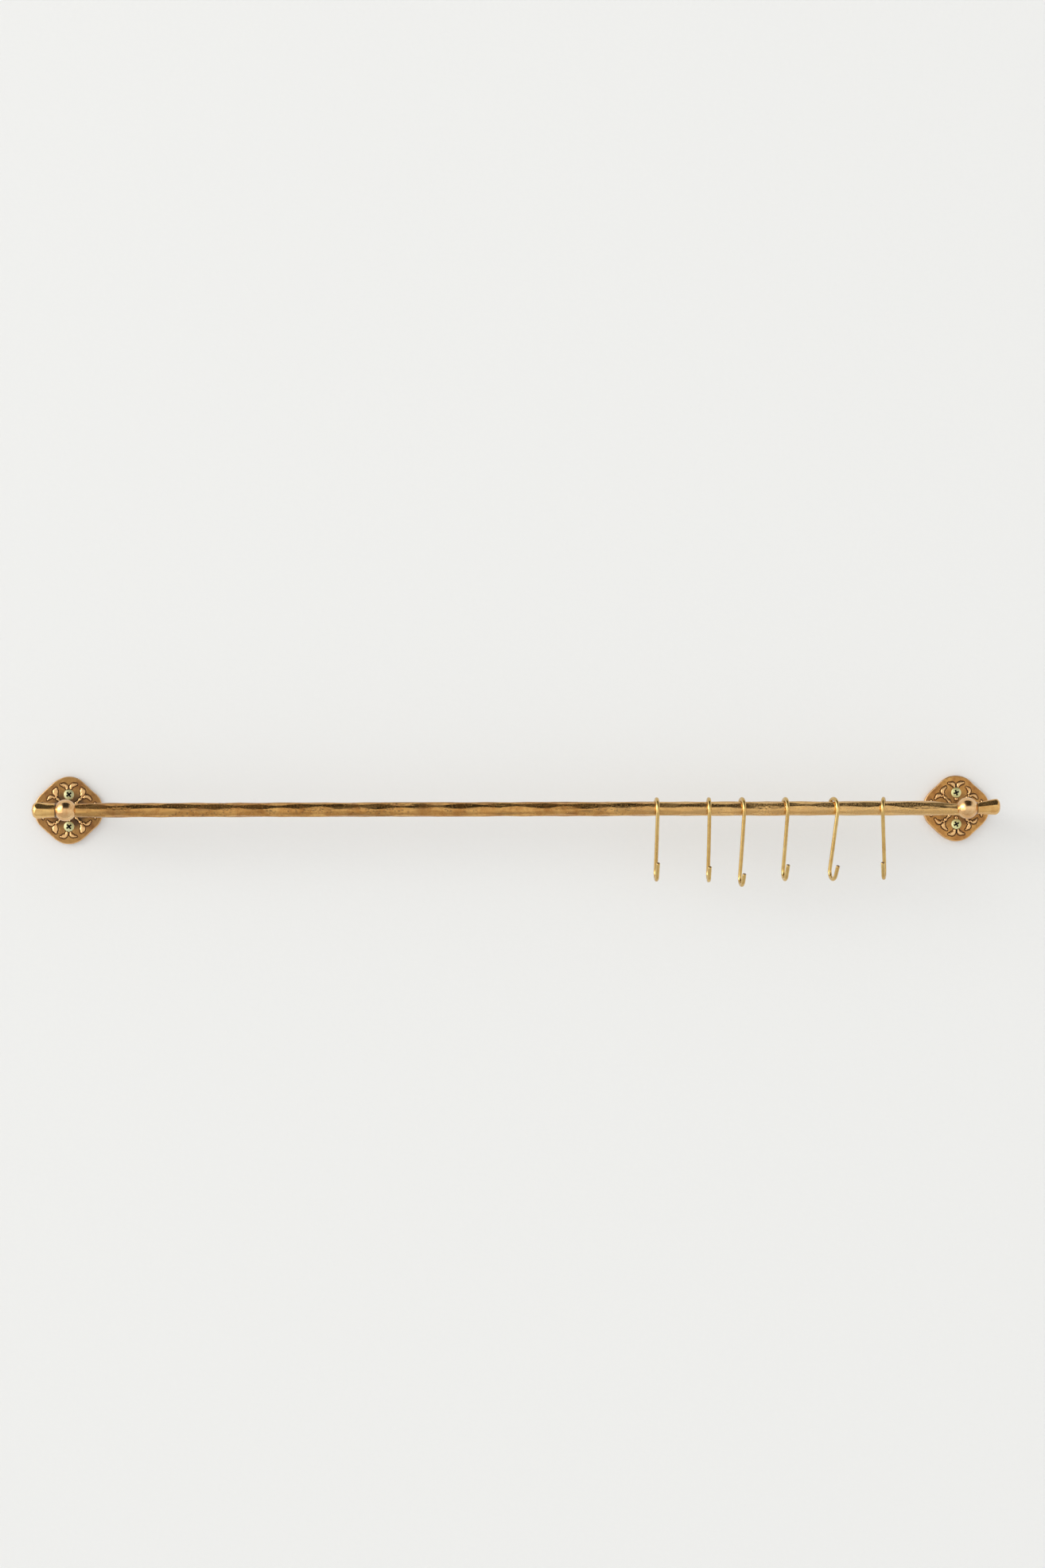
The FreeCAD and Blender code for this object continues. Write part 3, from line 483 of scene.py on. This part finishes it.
def wall_plate(side, sign, darker, finish):
    """A cast plate on (distance, angle): face with relief, rim, side and back, then three bores."""
    salt = 3.0 + sign
    angle = np.linspace(0, math.tau, 480, endpoint=False)
    edge = plate_edge(angle, salt)
    bend = 0.8
    share = np.linspace(0, 1, 106)[1:]
    inner = (edge[None] - bend) * share[:, None]
    x, z = inner * np.cos(angle), inner * np.sin(angle)
    high, patina_and_shade = relief(x, z, salt, side == "left")
    ground = 0.10 * drift(x, z, 3.1, salt + 4) + 0.05 * drift(x, z, 1.1, salt + 5)
    high = high + (ground - 0.1) * (1 - ease(high / 0.5)) * ease((inner - 5.5) / 1.0)
    front = -(PLATE_THICK + high)
    bow = np.linspace(0, math.pi / 2, 7)[1:]
    rim_radius = edge[None] - bend + bend * np.sin(bow)[:, None]
    rim_y = -(PLATE_THICK - bend + bend * np.cos(bow)[:, None]) + 0 * angle
    rim_y = rim_y + (front[-1] + PLATE_THICK)[None] * np.cos(bow)[:, None]
    side_y = np.array([-1.2, 0.0])[:, None] + 0 * angle
    side_radius = edge[None] + 0 * side_y
    back_radius = edge[None] * np.array([0.75, 0.5, 0.3, 0.12])[:, None]
    radius = np.concatenate([inner, rim_radius, side_radius, back_radius])
    y = np.concatenate([front, rim_y, side_y, 0 * back_radius])
    centre = sign * SPACING / 2
    rings = np.stack([centre + radius * np.cos(angle), y, radius * np.sin(angle)], axis=-1)
    points, polygons = skin(rings, (centre, front[0].mean(), 0), (centre, 0, 0))
    extra = np.full(radius.shape, darker)
    middle = darker + 0.55 * (1 - ease((inner - 11.0) / 7.0)) * (0.75 + 0.25 * drift(x, z, 4.2, salt + 8))
    extra[: len(patina_and_shade)] = np.maximum(patina_and_shade, middle * (1 - ease((high - 0.1) / 0.3)))
    raised = np.zeros(radius.shape)
    raised[: len(high)] = ease((high - 0.15) / 0.5)
    raised[len(high) : len(high) + len(bow)] = 0.75
    values = {"patina_and_shade": on_rings(extra), "raised": on_rings(raised)}
    mesh = make_mesh(f"plate_cast_{side}", points, polygons, values, 60)
    piece = show(mesh, finish, ROD_BODY, "cast_brass", f"wall_plate_{side}")
    cutter = plate_holes(centre)
    cut = piece.modifiers.new("bores", "BOOLEAN")
    cut.operation = "DIFFERENCE"
    cut.solver = "EXACT"
    cut.object = cutter
    bpy.context.view_layer.update()
    evaluated = piece.evaluated_get(bpy.context.evaluated_depsgraph_get())
    drilled = bpy.data.meshes.new_from_object(evaluated)
    piece.modifiers.clear()
    piece.data = drilled
    drilled.name = piece.name
    bpy.data.objects.remove(cutter)


# The wall screws

HEAD_RADIUS, SHANK_RADIUS, CORE_RADIUS = 4.0, 1.85, 1.45
THREAD_PITCH, THREAD_START, SCREW_LENGTH = 1.8, 3.3, 36.2


def cross_recess(x, z):
    """How deep the cross recess is: two arms whose sides and ends slope, deepest in the middle."""
    depth = np.zeros(x.shape)
    for along, across in ((x, z), (z, x)):
        side = (0.68 - np.abs(across)) / 0.12
        end = (2.4 - np.abs(along)) / 0.45
        depth = np.maximum(depth, ease(side) * np.minimum(ease(end), 1) * (2.2 - 0.35 * np.abs(along)))
    return depth


def wall_screw(side, sign, level, up, turn, darker, finish):
    """A raised countersunk wood screw on (profile, angle), with a thread along its shank.

    The thread's height over the core is 0.65 mm times
    (1 - 2 |fraction of (y / pitch - angle / tau) - 1/2|)^2.
    """
    rows = np.linspace(0, 1, 46)[1:]
    angle = np.linspace(0, math.tau, 64, endpoint=False)
    head = HEAD_RADIUS * rows[:, None] + 0 * angle
    x, z = head * np.cos(angle), head * np.sin(angle)
    dome = 0.8 * (1 - rows**2)[:, None]
    recess = cross_recess(x, z)
    head_y = -dome + np.minimum(recess, 2.55)
    neck_y = np.array([0.25, 2.45, 3.2])[:, None] + 0 * angle
    neck_radius = np.array([HEAD_RADIUS, SHANK_RADIUS, SHANK_RADIUS])[:, None] + 0 * angle
    thread_y = np.linspace(THREAD_START, SCREW_LENGTH, 300)[:, None] + 0 * angle
    saw = np.modf(thread_y / THREAD_PITCH - angle / math.tau + 8)[0]
    crest = (1 - 2 * np.abs(saw - 0.5)) ** 2
    start = ease((thread_y - THREAD_START) / 2.0)
    point = np.clip((thread_y - 31.2) / 5.0, 0, 1)
    thread_radius = CORE_RADIUS + (SHANK_RADIUS - CORE_RADIUS) * (1 - start) + 0.65 * crest * start
    thread_radius = thread_radius * (1 - 0.82 * point)
    radius = np.concatenate([head, neck_radius, thread_radius])
    y = np.concatenate([head_y, neck_y, thread_y])
    centre = sign * SPACING / 2
    twist = angle + math.radians(turn)
    height = up * SCREW_HEIGHT
    rings = np.stack(
        [centre + radius * np.cos(twist), -PLATE_THICK + y, height + radius * np.sin(twist)], axis=-1
    )
    top = (centre, -PLATE_THICK + head_y[0, 0], height)
    tip = (centre, -PLATE_THICK + SCREW_LENGTH, height)
    points, polygons = skin(rings, top, tip)
    # Painted shade: the whole screw is darkened by the given share, and the cross recess is coloured
    # near black.
    patina_and_shade = np.full(radius.shape, darker)
    patina_and_shade[: len(head)] = np.maximum(ease(recess / 0.35), darker)
    mesh = make_mesh(f"cross_screw_{side}_{level}", points, polygons, {"patina_and_shade": on_rings(patina_and_shade)}, 35)
    show(mesh, finish, ROD_BODY, "zinc_steel", f"wall_screw_{side}_{level}")


# The hooks

LOOP, CURL, WIRE = 8.15, 6.15, 1.55
LOOP_BACK, CURL_TURN = math.radians(45), math.radians(168)
HANG_DROP = 0.5

# Each hook: place along the rail, shank, lip, turn and backward lean in degrees
HOOKS = [
    (107.7, 47.2, 11.9, 0.5, 19.1),
    (149.1, 48.0, 9.1, -2.0, 18.3),
    (175.5, 51.8, 6.4, 6.5, 16.5),
    (210.1, 47.3, 9.9, 6.0, 18.7),
    (248.6, 47.3, 8.8, 15.5, 18.5),
    (288.6, 46.5, 10.9, -14.0, 19.2),
]


def hook_line(shank, lip):
    """The wire's middle line in its own plane, (y, z) and direction: loop, shank, curl and lip.

    The loop is LOOP (cos f, sin f) about the rod, the curl is CURL (cos f, sin f) about its own centre.
    """
    f = np.linspace(-LOOP_BACK, math.pi, 64)
    loop = np.stack([LOOP * np.cos(f), LOOP * np.sin(f)], axis=-1)
    drop = np.linspace(0, -shank, 30)[1:]
    straight = np.stack([0 * drop - LOOP, drop], axis=-1)
    g = -np.linspace(0, CURL_TURN, 44)[1:]
    curl = np.stack([-LOOP - CURL + CURL * np.cos(g), -shank + CURL * np.sin(g)], axis=-1)
    way = np.array([-math.sin(CURL_TURN), -math.cos(CURL_TURN)])
    out = np.linspace(0, lip, 10)[1:, None]
    return np.concatenate([loop, straight, curl, curl[-1] + out * way])


def s_hook(number, finish):
    """Wire along a line: a point is line + radius (cos f X + sin f N), N square to the line and to X."""
    x, shank, lip, turn, lean = HOOKS[number - 1]
    line = hook_line(shank, lip)
    ahead = np.gradient(line, axis=0)
    ahead /= np.linalg.norm(ahead, axis=1, keepdims=True)
    across = np.stack([-ahead[:, 1], ahead[:, 0]], axis=-1)
    walked = np.concatenate([[0], np.cumsum(np.linalg.norm(np.diff(line, axis=0), axis=1))])
    whole = walked[-1]
    sway = 0.10 * drift(walked, 0 * walked + number, 19.0, 1.5) * ease(walked / 30)
    f = np.linspace(0, math.tau, 36, endpoint=False)
    thick = np.full(len(line), WIRE) - 0.03 * (0.5 + 0.5 * drift(walked, 0 * walked, 7.0, number))
    bevel = 0.35
    steps = [(0.10, WIRE - 0.75), (0.0, WIRE - bevel), (0.12, WIRE - 0.12), (0.3, WIRE)]
    starts = [(line[0] + ahead[0] * s, r, 0) for s, r in steps]
    ends = [(line[-1] - ahead[-1] * s, r, -1) for s, r in reversed(steps)]
    keep = (walked > 0.4) & (walked < whole - 0.4)
    middle = np.concatenate([[p for p, _, _ in starts], line[keep], [p for p, _, _ in ends]])
    radius = np.concatenate([[r for _, r, _ in starts], thick[keep], [r for _, r, _ in ends]])
    many = len(steps)
    side = np.concatenate(
        [np.repeat(across[:1], many, 0), across[keep], np.repeat(across[-1:], many, 0)]
    )
    bow = np.concatenate([np.repeat(sway[:1], many), sway[keep], np.repeat(sway[-1:], many)])
    px = bow[:, None] + radius[:, None] * np.cos(f)
    py = middle[:, :1] + radius[:, None] * np.sin(f) * side[:, :1]
    pz = middle[:, 1:] + radius[:, None] * np.sin(f) * side[:, 1:]
    lean, turn = math.radians(lean), math.radians(turn)
    rings = np.stack([px, py, pz], axis=-1)
    cap_first = np.array([bow[0], *(line[0] + ahead[0] * 0.18)])
    cap_last = np.array([bow[-1], *(line[-1] - ahead[-1] * 0.18)])
    points, polygons = skin(rings, cap_first, cap_last)
    patina_and_shade = np.zeros(radius.shape)
    # Painted shade: the cut ends of the wire are coloured dark brown, and the ring next to them a
    # little.
    patina_and_shade[[0, -1]] = 1.0
    patina_and_shade[[1, -2]] = 0.35
    leaned = np.stack([
        points[:, 0],
        points[:, 1] * math.cos(lean) - points[:, 2] * math.sin(lean),
        points[:, 1] * math.sin(lean) + points[:, 2] * math.cos(lean),
    ], axis=-1)
    placed = np.stack([
        x + leaned[:, 0] * math.cos(turn) - leaned[:, 1] * math.sin(turn),
        -STAND_OFF + leaned[:, 0] * math.sin(turn) + leaned[:, 1] * math.cos(turn),
        leaned[:, 2] - HANG_DROP,
    ], axis=-1)
    values = {"patina_and_shade": on_rings(patina_and_shade[:, None] + 0 * f)}
    mesh = make_mesh(f"wire_hook_{number}", placed, polygons, values, 50)
    show(mesh, finish, f"s_hook_{number}", "wire_brass", f"s_hook_{number}")


# Node groups and materials


class Nodes:
    """Adds nodes to a tree and links them by socket name."""

    def __init__(self, tree):
        self.tree = tree

    def give(self, socket, value):
        """Links a socket to another node's output, or sets its constant."""
        if isinstance(value, bpy.types.NodeSocket):
            self.tree.links.new(value, socket)
        else:
            socket.default_value = value

    def add(self, kind, settings=None, **sockets):
        node = self.tree.nodes.new(kind)
        for key, value in (settings or {}).items():
            setattr(node, key, value)
        for key, value in sockets.items():
            self.give(node.inputs[key.replace("_", " ")], value)
        return node

    def blend(self, share, low, high):
        """Colour from low to high by share."""
        node = self.add("ShaderNodeMix", {"data_type": "RGBA"})
        for index, value in ((0, share), (6, low), (7, high)):
            self.give(node.inputs[index], value)
        return node.outputs[2]

    def sum(self, operation, a, b=0.0, c=0.0, clamp=False):
        """One operation on up to three numbers."""
        node = self.add("ShaderNodeMath", {"operation": operation, "use_clamp": clamp})
        for index, value in enumerate((a, b, c)):
            self.give(node.inputs[index], value)
        return node.outputs[0]

    def noise(self, where, scale, detail=3.0, rough=0.5):
        """Cloudy values from 0 to 1."""
        node = self.add("ShaderNodeTexNoise", Vector=where, Scale=scale, Detail=detail, Roughness=rough)
        return node.outputs[0]

    def window(self, value, low, high):
        """0 at low, 1 at high, eased between."""
        node = self.add("ShaderNodeMapRange", {"interpolation_type": "SMOOTHSTEP"})
        for index, number in ((0, value), (1, low), (2, high)):
            self.give(node.inputs[index], number)
        return node.outputs[0]


def new_group(name, inputs, outputs):
    """A node group with its sockets, its helper and its two end nodes."""
    group = bpy.data.node_groups.new(name, "ShaderNodeTree")
    for in_out, sockets in (("INPUT", inputs), ("OUTPUT", outputs)):
        for label, kind in sockets:
            group.interface.new_socket(label, in_out=in_out, socket_type=kind)
    nodes = Nodes(group)
    return group, nodes, nodes.add("NodeGroupInput"), nodes.add("NodeGroupOutput")


COLOUR, NUMBER, VECTOR = "NodeSocketColor", "NodeSocketFloat", "NodeSocketVector"


def patina_and_shade_group():
    """Warm and pale patches, brown in the hollows and over painted shade, and specks of tarnish, with
    roughness to match.
    """
    group, n, given, out = new_group(
        "brass patina and shade",
        [("Place", VECTOR), ("Pale", COLOUR), ("Warm", COLOUR), ("Dark", COLOUR), ("Hollow", NUMBER),
         ("Patches", NUMBER), ("Specks", NUMBER), ("Smooth", NUMBER), ("Dull", NUMBER)],
        [("Colour", COLOUR), ("Roughness", NUMBER), ("Tarnish_And_Shade", NUMBER)],
    )
    place = given.outputs["Place"]
    broad = n.window(n.noise(place, 55.0, 3.0, 0.55), 0.36, 0.64)
    middle = n.window(n.noise(place, 210.0, 4.0, 0.6), 0.38, 0.66)
    fleck = n.window(n.noise(place, 900.0, 3.0, 0.65), 0.56, 0.70)
    patch = n.sum("ADD", n.sum("MULTIPLY", broad, 0.55), n.sum("MULTIPLY", middle, 0.45))
    patch = n.sum("MULTIPLY", patch, given.outputs["Patches"], clamp=True)
    metal = n.blend(patch, given.outputs["Pale"], given.outputs["Warm"])
    speck = n.sum("MULTIPLY", n.sum("MULTIPLY", fleck, middle), given.outputs["Specks"])
    tarnish_and_shade = n.sum("MAXIMUM", speck, given.outputs["Hollow"], clamp=True)
    colour = n.blend(tarnish_and_shade, metal, given.outputs["Dark"])
    spread = n.sum("SUBTRACT", given.outputs["Dull"], given.outputs["Smooth"])
    share = n.sum("MAXIMUM", patch, tarnish_and_shade, clamp=True)
    rough = n.sum("MULTIPLY_ADD", share, spread, given.outputs["Smooth"])
    for label, socket in (("Colour", colour), ("Roughness", rough), ("Tarnish_And_Shade", tarnish_and_shade)):
        group.links.new(socket, out.inputs[label])
    return group


def grain_group():
    """Height of worked metal: soft waves, fine peening cells and pinholes."""
    group, n, given, out = new_group(
        "worked metal",
        [("Place", VECTOR), ("Waves", NUMBER), ("Cells", NUMBER), ("Cell Scale", NUMBER),
         ("Pinholes", NUMBER)],
        [("Height", NUMBER)],
    )
    place = given.outputs["Place"]
    waves = n.sum("MULTIPLY", n.noise(place, 160.0, 2.0, 0.5), given.outputs["Waves"])
    cells = n.add("ShaderNodeTexVoronoi", {"feature": "SMOOTH_F1"}, Vector=place, Smoothness=0.6,
                  Scale=given.outputs["Cell Scale"]).outputs["Distance"]
    cells = n.sum("MULTIPLY", cells, given.outputs["Cells"])
    pin = n.window(n.noise(place, 1300.0, 2.0, 0.5), 0.66, 0.74)
    pin = n.sum("MULTIPLY", pin, given.outputs["Pinholes"])
    height = n.sum("SUBTRACT", n.sum("ADD", waves, cells), pin)
    group.links.new(height, out.inputs["Height"])
    return group


PATINA_AND_SHADE = patina_and_shade_group()
GRAIN = grain_group()


def rgb(red, green, blue):
    """A colour from its 0 to 255 values as seen on a screen."""
    light = []
    for value in (red, green, blue):
        share = value / 255
        light.append(share / 12.92 if share <= 0.04045 else ((share + 0.055) / 1.055) ** 2.4)
    return (*light, 1.0)


def metal(name, patina, grain, height, stretch=(1.0, 1.0, 1.0), raised=None, coat=0.0):
    """A metal finish: patina and painted shade, and a worked surface, from the shared groups, in the
    object's coordinates.
    """
    material = bpy.data.materials.new(name)
    material.use_nodes = True
    tree = material.node_tree
    tree.nodes.clear()
    n = Nodes(tree)
    where = n.add("ShaderNodeTexCoord").outputs["Object"]
    where = n.add("ShaderNodeMapping", Vector=where, Scale=stretch).outputs[0]
    patina_and_shade = n.add("ShaderNodeAttribute", {"attribute_name": "patina_and_shade"}).outputs["Fac"]
    aged_and_shaded = n.add("ShaderNodeGroup", {"node_tree": PATINA_AND_SHADE}, Place=where, Hollow=patina_and_shade, **patina)
    colour = aged_and_shaded.outputs["Colour"]
    rough = aged_and_shaded.outputs["Roughness"]
    if raised:
        worn = n.add("ShaderNodeAttribute", {"attribute_name": "raised"}).outputs["Fac"]
        colour = n.blend(worn, colour, raised[0])
        rough = n.sum("SUBTRACT", rough, n.sum("MULTIPLY", worn, raised[1]), clamp=True)
    worked = n.add("ShaderNodeGroup", {"node_tree": GRAIN}, Place=where, **grain)
    bump = n.add("ShaderNodeBump", Height=worked.outputs["Height"], Distance=height, Strength=1.0)
    metallic = n.sum("MULTIPLY_ADD", aged_and_shaded.outputs["Tarnish_And_Shade"], -0.6, 1.0)
    shader = n.add("ShaderNodeBsdfPrincipled", Base_Color=colour, Roughness=rough, Metallic=metallic,
                   Normal=bump.outputs[0])
    shader.inputs["Coat Weight"].default_value = coat
    shader.inputs["Coat Roughness"].default_value = 0.15
    output = n.add("ShaderNodeOutputMaterial")
    tree.links.new(shader.outputs[0], output.inputs[0])
    return material


ROD_BRASS = metal(
    "hammered brass",
    {"Pale": rgb(214, 166, 98), "Warm": rgb(180, 126, 66), "Dark": rgb(62, 38, 20),
     "Patches": 1.0, "Specks": 0.6, "Smooth": 0.17, "Dull": 0.32},
    {"Waves": 0.5, "Cells": 0.35, "Cell_Scale": 420.0, "Pinholes": 0.5},
    0.00030,
    raised=(rgb(232, 192, 128), 0.0),
    coat=0.12,
)
FINIAL_BRASS = metal(
    "finial brass",
    {"Pale": rgb(232, 190, 120), "Warm": rgb(204, 146, 78), "Dark": rgb(62, 38, 20),
     "Patches": 0.8, "Specks": 0.35, "Smooth": 0.20, "Dull": 0.36},
    {"Waves": 0.5, "Cells": 0.10, "Cell_Scale": 300.0, "Pinholes": 0.15},
    0.00025,
    coat=0.12,
)
PLATE_BRASS = metal(
    "cast brass",
    {"Pale": rgb(214, 164, 95), "Warm": rgb(180, 127, 73), "Dark": rgb(46, 26, 14),
     "Patches": 1.0, "Specks": 0.55, "Smooth": 0.40, "Dull": 0.58},
    {"Waves": 0.7, "Cells": 0.35, "Cell_Scale": 700.0, "Pinholes": 0.35},
    0.00030,
    raised=(rgb(236, 192, 134), 0.18),
)
BALL_BRASS = metal(
    "polished brass",
    {"Pale": rgb(236, 198, 146), "Warm": rgb(210, 156, 98), "Dark": rgb(90, 58, 34),
     "Patches": 1.0, "Specks": 0.15, "Smooth": 0.12, "Dull": 0.26},
    {"Waves": 0.8, "Cells": 0.0, "Cell_Scale": 300.0, "Pinholes": 0.0},
    0.00020,
    coat=0.12,
)
WIRE_BRASS = metal(
    "wire brass",
    {"Pale": rgb(220, 188, 120), "Warm": rgb(196, 157, 90), "Dark": rgb(90, 58, 28),
     "Patches": 0.9, "Specks": 0.35, "Smooth": 0.14, "Dull": 0.32},
    {"Waves": 0.5, "Cells": 0.0, "Cell_Scale": 300.0, "Pinholes": 0.2},
    0.00012,
    coat=0.3,
)
# The near-black Dark colour is painted shade in the cross recesses and over the left screws.
ZINC = metal(
    "yellow zinc",
    {"Pale": rgb(240, 238, 190), "Warm": rgb(220, 218, 152), "Dark": rgb(10, 9, 6),
     "Patches": 1.0, "Specks": 0.1, "Smooth": 0.46, "Dull": 0.60},
    {"Waves": 0.2, "Cells": 0.0, "Cell_Scale": 300.0, "Pinholes": 0.0},
    0.00010,
)

hammered_rod(ROD_BRASS)
# The last number darkens the whole wall plate: the left one is darker all over.
for SIDE, SIGN, LENGTH, NECK, DOME, LIFT, DARKER in (
    ("left", -1, 19.4, 5.6, 4.2, 0.0, 0.36), ("right", 1, 19.9, 4.5, 3.8, 1.2, 0.0),
):
    finial(SIDE, SIGN, LENGTH, NECK, DOME, LIFT, FINIAL_BRASS)
    ball_front(SIDE, SIGN, BALL_BRASS)
    wall_plate(SIDE, SIGN, DARKER, PLATE_BRASS)
    for NODE, FINISH in ((f"ball_post_{SIDE}", BALL_BRASS), (f"post_screw_{SIDE}", ZINC)):
        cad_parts[NODE].data.materials.clear()
        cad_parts[NODE].data.materials.append(FINISH)
# Painted shade: the last number darkens the two left screws all over.
for SIDE, SIGN, LEVEL, UP, TURN, DARKER in (
    ("left", -1, "upper", 1, 38, 0.30), ("left", -1, "lower", -1, 40, 0.22),
    ("right", 1, "upper", 1, 20, 0.0), ("right", 1, "lower", -1, 28, 0.0),
):
    wall_screw(SIDE, SIGN, LEVEL, UP, TURN, DARKER, ZINC)
for HOOK_NUMBER in range(1, len(HOOKS) + 1):
    s_hook(HOOK_NUMBER, WIRE_BRASS)


# Wall, light and camera

WALL_HALF, WALL_BACK = 3.0, 0.0003
CAMERA_PLACE = (-0.1874, -2.695, -0.0132)
CAMERA_YAW, CAMERA_PITCH, CAMERA_ROLL = 4.081, 0.712, -0.165
FLOOR_TO_CEILING = [
    (0.0, 0.62), (0.2, 0.72), (0.38, 0.92), (0.5, 1.0),
    (0.60, 1.0), (0.68, 0.40), (0.74, 0.05), (1.0, 0.04),
]


def painted_wall():
    """A plain pale wall just behind the plates, seen only from the room's side.

    It lets through rays shorter than 1 mm, so light reaches the backs that lie against it.
    """
    mesh = bpy.data.meshes.new("painted_wall")
    corners = ((-1, -1), (1, -1), (1, 1), (-1, 1))
    mesh.from_pydata(
        [(x * WALL_HALF, WALL_BACK, z * WALL_HALF) for x, z in corners], [], [(0, 1, 2, 3)]
    )
    wall = bpy.data.objects.new("painted_wall", mesh)
    bpy.context.scene.collection.objects.link(wall)
    material = bpy.data.materials.new("wall paint")
    material.use_nodes = True
    tree = material.node_tree
    tree.nodes.clear()
    n = Nodes(tree)
    where = n.add("ShaderNodeTexCoord").outputs["Object"]
    grain = n.add("ShaderNodeTexNoise", Vector=where, Scale=240.0, Detail=3.0).outputs[0]
    bump = n.add("ShaderNodeBump", Height=grain, Distance=0.0006, Strength=0.35)
    paint = n.add("ShaderNodeBsdfPrincipled", Base_Color=rgb(236, 236, 234), Roughness=0.85,
                  Normal=bump.outputs[0])
    paint.inputs["Specular IOR Level"].default_value = 0.0
    clear = n.add("ShaderNodeBsdfTransparent")
    path = n.add("ShaderNodeLightPath")
    behind = n.sum("MULTIPLY", n.add("ShaderNodeNewGeometry").outputs["Backfacing"],
                   path.outputs["Is Camera Ray"])
    behind = n.sum("MAXIMUM", behind, n.sum("LESS_THAN", path.outputs["Ray Length"], 0.001))
    mixed = n.add("ShaderNodeMixShader")
    tree.links.new(behind, mixed.inputs[0])
    tree.links.new(paint.outputs[0], mixed.inputs[1])
    tree.links.new(clear.outputs[0], mixed.inputs[2])
    output = n.add("ShaderNodeOutputMaterial")
    tree.links.new(mixed.outputs[0], output.inputs[0])
    mesh.materials.append(material)


def lamp(name, place, side, power):
    """A square lamp turned towards the middle of the rail."""
    data = bpy.data.lights.new(name, "AREA")
    data.shape = "SQUARE"
    data.size, data.energy = side, power
    made = bpy.data.objects.new(name, data)
    bpy.context.scene.collection.objects.link(made)
    made.location = place
    made.rotation_mode = "QUATERNION"
    made.rotation_quaternion = (-Vector(place)).to_track_quat("-Z", "Y")


def studio():
    """A pale backdrop all round, an even soft light, and for reflections a room.

    The room has a dark ceiling over the rail, pale walls beside it and a wide window on its left, with
    one brighter pane.
    """
    world = bpy.data.worlds.new("studio")
    bpy.context.scene.world = world
    world.use_nodes = True
    tree = world.node_tree
    tree.nodes.clear()
    n = Nodes(tree)
    path = n.add("ShaderNodeLightPath")
    way = n.add("ShaderNodeTexCoord").outputs["Generated"]
    parts = n.add("ShaderNodeSeparateXYZ", Vector=way)
    level = parts.outputs["Z"]
    ramp = n.add("ShaderNodeValToRGB")
    tree.links.new(n.sum("MULTIPLY_ADD", level, 0.5, 0.5), ramp.inputs[0])
    band = ramp.color_ramp
    band.interpolation = "EASE"
    for index, (position, shade) in enumerate(FLOOR_TO_CEILING):
        stop = band.elements[index] if index < 2 else band.elements.new(position)
        stop.position = position
        stop.color = (shade, shade * 0.99, shade * 0.97, 1)
    sideways = parts.outputs["X"]
    off_middle = n.sum("ABSOLUTE", n.sum("SUBTRACT", sideways, 0.08))
    high = n.window(level, 0.05, 0.25)
    side_walls = n.sum("MULTIPLY", n.window(off_middle, 0.36, 0.70), high)
    room = n.blend(side_walls, ramp.outputs[0], (0.80, 0.79, 0.77, 1))
    upright = n.sum("MULTIPLY", n.window(level, -0.50, -0.22), n.window(level, 0.84, 0.52))
    opening = n.sum("MULTIPLY", n.window(sideways, -0.40, -0.66), upright)
    mirrored = n.blend(opening, room, (2.2, 2.2, 2.15, 1))
    pane = n.sum("MULTIPLY", n.window(level, 0.02, 0.14), n.window(level, 0.48, 0.34))
    pane = n.sum("MULTIPLY", n.window(sideways, -0.72, -0.82), pane)
    mirrored = n.blend(pane, mirrored, (6.0, 6.0, 5.9, 1))
    even = n.blend(path.outputs["Is Diffuse Ray"], mirrored, (0.88, 0.88, 0.88, 1))
    seen = n.blend(path.outputs["Is Camera Ray"], even, (0.86, 0.86, 0.85, 1))
    sky = n.add("ShaderNodeBackground", Color=seen, Strength=1.0)
    output = n.add("ShaderNodeOutputWorld")
    tree.links.new(sky.outputs[0], output.inputs[0])
    lamp("window", (-3.6, -2.57, 1.67), 2.05, 22.0)


def camera():
    """The photograph's view: 2.65 m before the rail, turned 4 degrees right and very nearly level."""
    yaw, pitch, roll = (math.radians(value) for value in (CAMERA_YAW, CAMERA_PITCH, CAMERA_ROLL))
    ahead = np.array(
        [math.sin(yaw) * math.cos(pitch), math.cos(yaw) * math.cos(pitch), math.sin(pitch)]
    )
    right = np.array([math.cos(yaw), -math.sin(yaw), 0.0])
    up = np.cross(right, ahead)
    tilted_right = right * math.cos(roll) + up * math.sin(roll)
    tilted_up = up * math.cos(roll) - right * math.sin(roll)
    data = bpy.data.cameras.new("photo view")
    data.sensor_width, data.lens = 36.0, 77.52
    data.clip_start, data.clip_end = 0.05, 30.0
    made = bpy.data.objects.new("photo view", data)
    bpy.context.scene.collection.objects.link(made)
    turn = Matrix(np.stack([tilted_right, tilted_up, -ahead], axis=1).tolist()).to_4x4()
    made.matrix_world = Matrix.Translation(CAMERA_PLACE) @ turn
    bpy.context.scene.camera = made


painted_wall()
studio()
camera()
bpy.context.scene.view_settings.view_transform = "Standard"
